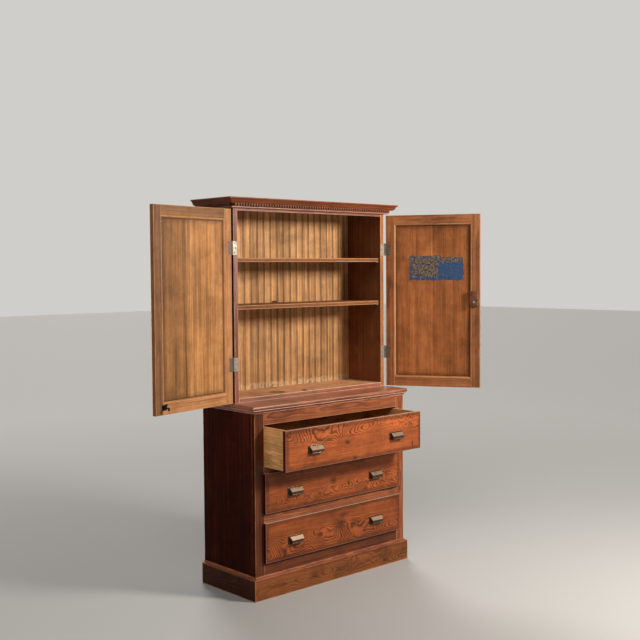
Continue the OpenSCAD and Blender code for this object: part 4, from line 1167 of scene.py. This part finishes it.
def make_paper():
    """What is left of a blank sheet pasted inside the right door, its edges torn."""
    bpy.ops.mesh.primitive_grid_add(x_subdivisions=150, y_subdivisions=70, size=1)
    sheet = bpy.context.active_object
    sheet.name = "paper_remnant"
    mesh = sheet.data
    bpy.context.tool_settings.mesh_select_mode = (False, False, True)
    for face in mesh.polygons:
        x, y, _ = face.center
        edge = min(0.5 - abs(x), (0.5 - abs(y)) * PAPER_TALL)
        rag = noise.noise(Vector((x * 14, y * 7, 3.0)))
        rag += 0.6 * noise.noise(Vector((x * 40, y * 20, 8.0)))
        corner = x < -0.08 and y < -0.42 - 0.05 * noise.noise(Vector((x * 9, 1.0, 0.0)))
        face.select = edge < 0.012 + 0.018 * rag or corner
    bpy.ops.object.mode_set(mode="EDIT")
    bpy.ops.mesh.delete(type="FACE")
    bpy.ops.mesh.select_mode(type="VERT")
    bpy.ops.mesh.select_all(action="DESELECT")
    bpy.ops.mesh.select_non_manifold()
    bpy.ops.mesh.vertices_smooth(factor=0.5, repeat=4)
    leave()
    for vertex in mesh.vertices:
        lift = noise.noise(Vector((vertex.co.x * 9, vertex.co.y * 5, 5.0)))
        vertex.co.z = 0.0003 + 0.0002 * lift
    laid = Matrix.Translation(PAPER_MIDDLE) @ Matrix.Rotation(-math.pi / 2, 4, "X")
    mesh.transform(swung("right") @ laid @ Matrix.Diagonal((*PAPER_SIZE, 1, 1)))
    modify(sheet, "SOLIDIFY", thickness=0.00015, offset=-1.0)
    mesh.materials.append(make_paper_finish())
    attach(sheet, "door_right")


def make_notch_shade_block():
    """Painted shade: a dark block set into the notch of the back boards from behind, so that the
    notch shows dark.
    """
    bpy.ops.mesh.primitive_cube_add(size=1, location=NOTCH_MIDDLE)
    shade_block = bpy.context.active_object
    shade_block.name = "notch_slip"
    shade_block.scale = NOTCH_SHADE_BLOCK
    settle(shade_block)
    ease_arrises(shade_block, 0.4 * MM)
    lay_boards(shade_block, shade_block.name, (), None, PLAIN)
    finish_faces(shade_block, shade_block.name, SIDE)
    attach(shade_block, "cabinet")


make_woodwork()
make_hardware()
make_screws()
make_paper()
make_notch_shade_block()


# Studio

# Colour of the distant lamps, and where the key lamp stands and points
LAMP_WHITE = (1.0, 0.98, 0.96)
KEY_PLACE = Vector((1.35, -2.9, 2.5))
KEY_AIM = Vector((0, -0.05, 1.2))
# The photograph's camera by a fit to the cabinet's edges: azimuth, pitch and roll in degrees, its
# place, and its focal length and the width of the picture in pixels
CAMERA_TURN = (-42.3887, 2.9348, -0.3803)
CAMERA_PLACE = (-3.5931, -4.0399, 1.6426)
FOCAL_PIXELS = 1004.77
PICTURE_PIXELS = 640


def make_floor():
    bpy.ops.mesh.primitive_plane_add(size=60, location=(0, 0, 0))
    floor = bpy.context.active_object
    floor.name = "studio_floor"
    material, n, shader, where = start_material("pale_floor")
    far = n.band(n.vector("LENGTH", where), 0.8, 7.0)
    pale = n.mix(far, srgb(180, 178, 175), srgb(226, 224, 220))
    n.feed(shader, Base_Color=pale, Roughness=0.75)
    floor.data.materials.append(material)


def make_world():
    world = bpy.data.worlds.new("studio")
    bpy.context.scene.world = world
    world.use_nodes = True
    n = Nodes(world.node_tree)
    world.node_tree.nodes.clear()
    path = n.add("ShaderNodeLightPath").outputs
    seen = n.math("MAXIMUM", path["Is Camera Ray"], path["Is Glossy Ray"])
    seen = n.math("MAXIMUM", seen, path["Is Transmission Ray"])
    soft = n.feed(n.add("ShaderNodeBackground"), Color=(1.0, 0.97, 0.93, 1), Strength=0.11)
    wall = n.feed(n.add("ShaderNodeBackground"), Color=srgb(208, 206, 202), Strength=1.0)
    blend = n.feed(n.add("ShaderNodeMixShader"), seen, soft[0], wall[0])
    n.feed(n.add("ShaderNodeOutputWorld"), Surface=blend[0])


def add_lamp(name, kind, energy, colour, place, way, **settings):
    """A lamp at a place, shining against a way."""
    data = bpy.data.lights.new(name, kind)
    data.energy = energy
    data.color = colour
    for setting, value in settings.items():
        setattr(data, setting, value)
    lamp = new_object(name, data)
    lamp.location = place
    lamp.rotation_euler = way.to_track_quat("Z", "Y").to_euler()


def make_sun(name, azimuth, elevation, spread, strength):
    """A soft distant lamp, azimuth 0 from the front and growing to the right, in degrees."""
    a, e = math.radians(azimuth), math.radians(elevation)
    way = Vector((math.sin(a) * math.cos(e), -math.cos(a) * math.cos(e), math.sin(e)))
    add_lamp(name, "SUN", strength, LAMP_WHITE, way * 6, way, angle=math.radians(spread))


def make_camera():
    azimuth, pitch, roll = (math.radians(turn) for turn in CAMERA_TURN)
    ahead = Vector((
        -math.sin(azimuth) * math.cos(pitch),
        math.cos(azimuth) * math.cos(pitch),
        -math.sin(pitch),
    ))
    right = Vector((math.cos(azimuth), math.sin(azimuth), 0))
    up = right.cross(ahead)
    c, s = math.cos(roll), math.sin(roll)
    right, up = c * right + s * up, c * up - s * right
    data = bpy.data.cameras.new("photograph")
    data.sensor_width = 36
    data.lens = FOCAL_PIXELS * data.sensor_width / PICTURE_PIXELS
    camera = new_object("photograph", data)
    turned = Matrix((right, up, -ahead)).transposed().to_4x4()
    camera.matrix_world = Matrix.Translation(CAMERA_PLACE) @ turned
    bpy.context.scene.camera = camera


make_floor()
make_world()
# The main soft lamp, high in front and a little to the right
add_lamp("key", "AREA", 128, (1.0, 0.95, 0.88), KEY_PLACE, KEY_PLACE - KEY_AIM, size=0.7)
make_sun("fill", azimuth=-48, elevation=42, spread=30, strength=0.72)
make_sun("back", azimuth=150, elevation=40, spread=20, strength=1.2)
make_camera()
bpy.context.scene.view_settings.view_transform = "Standard"
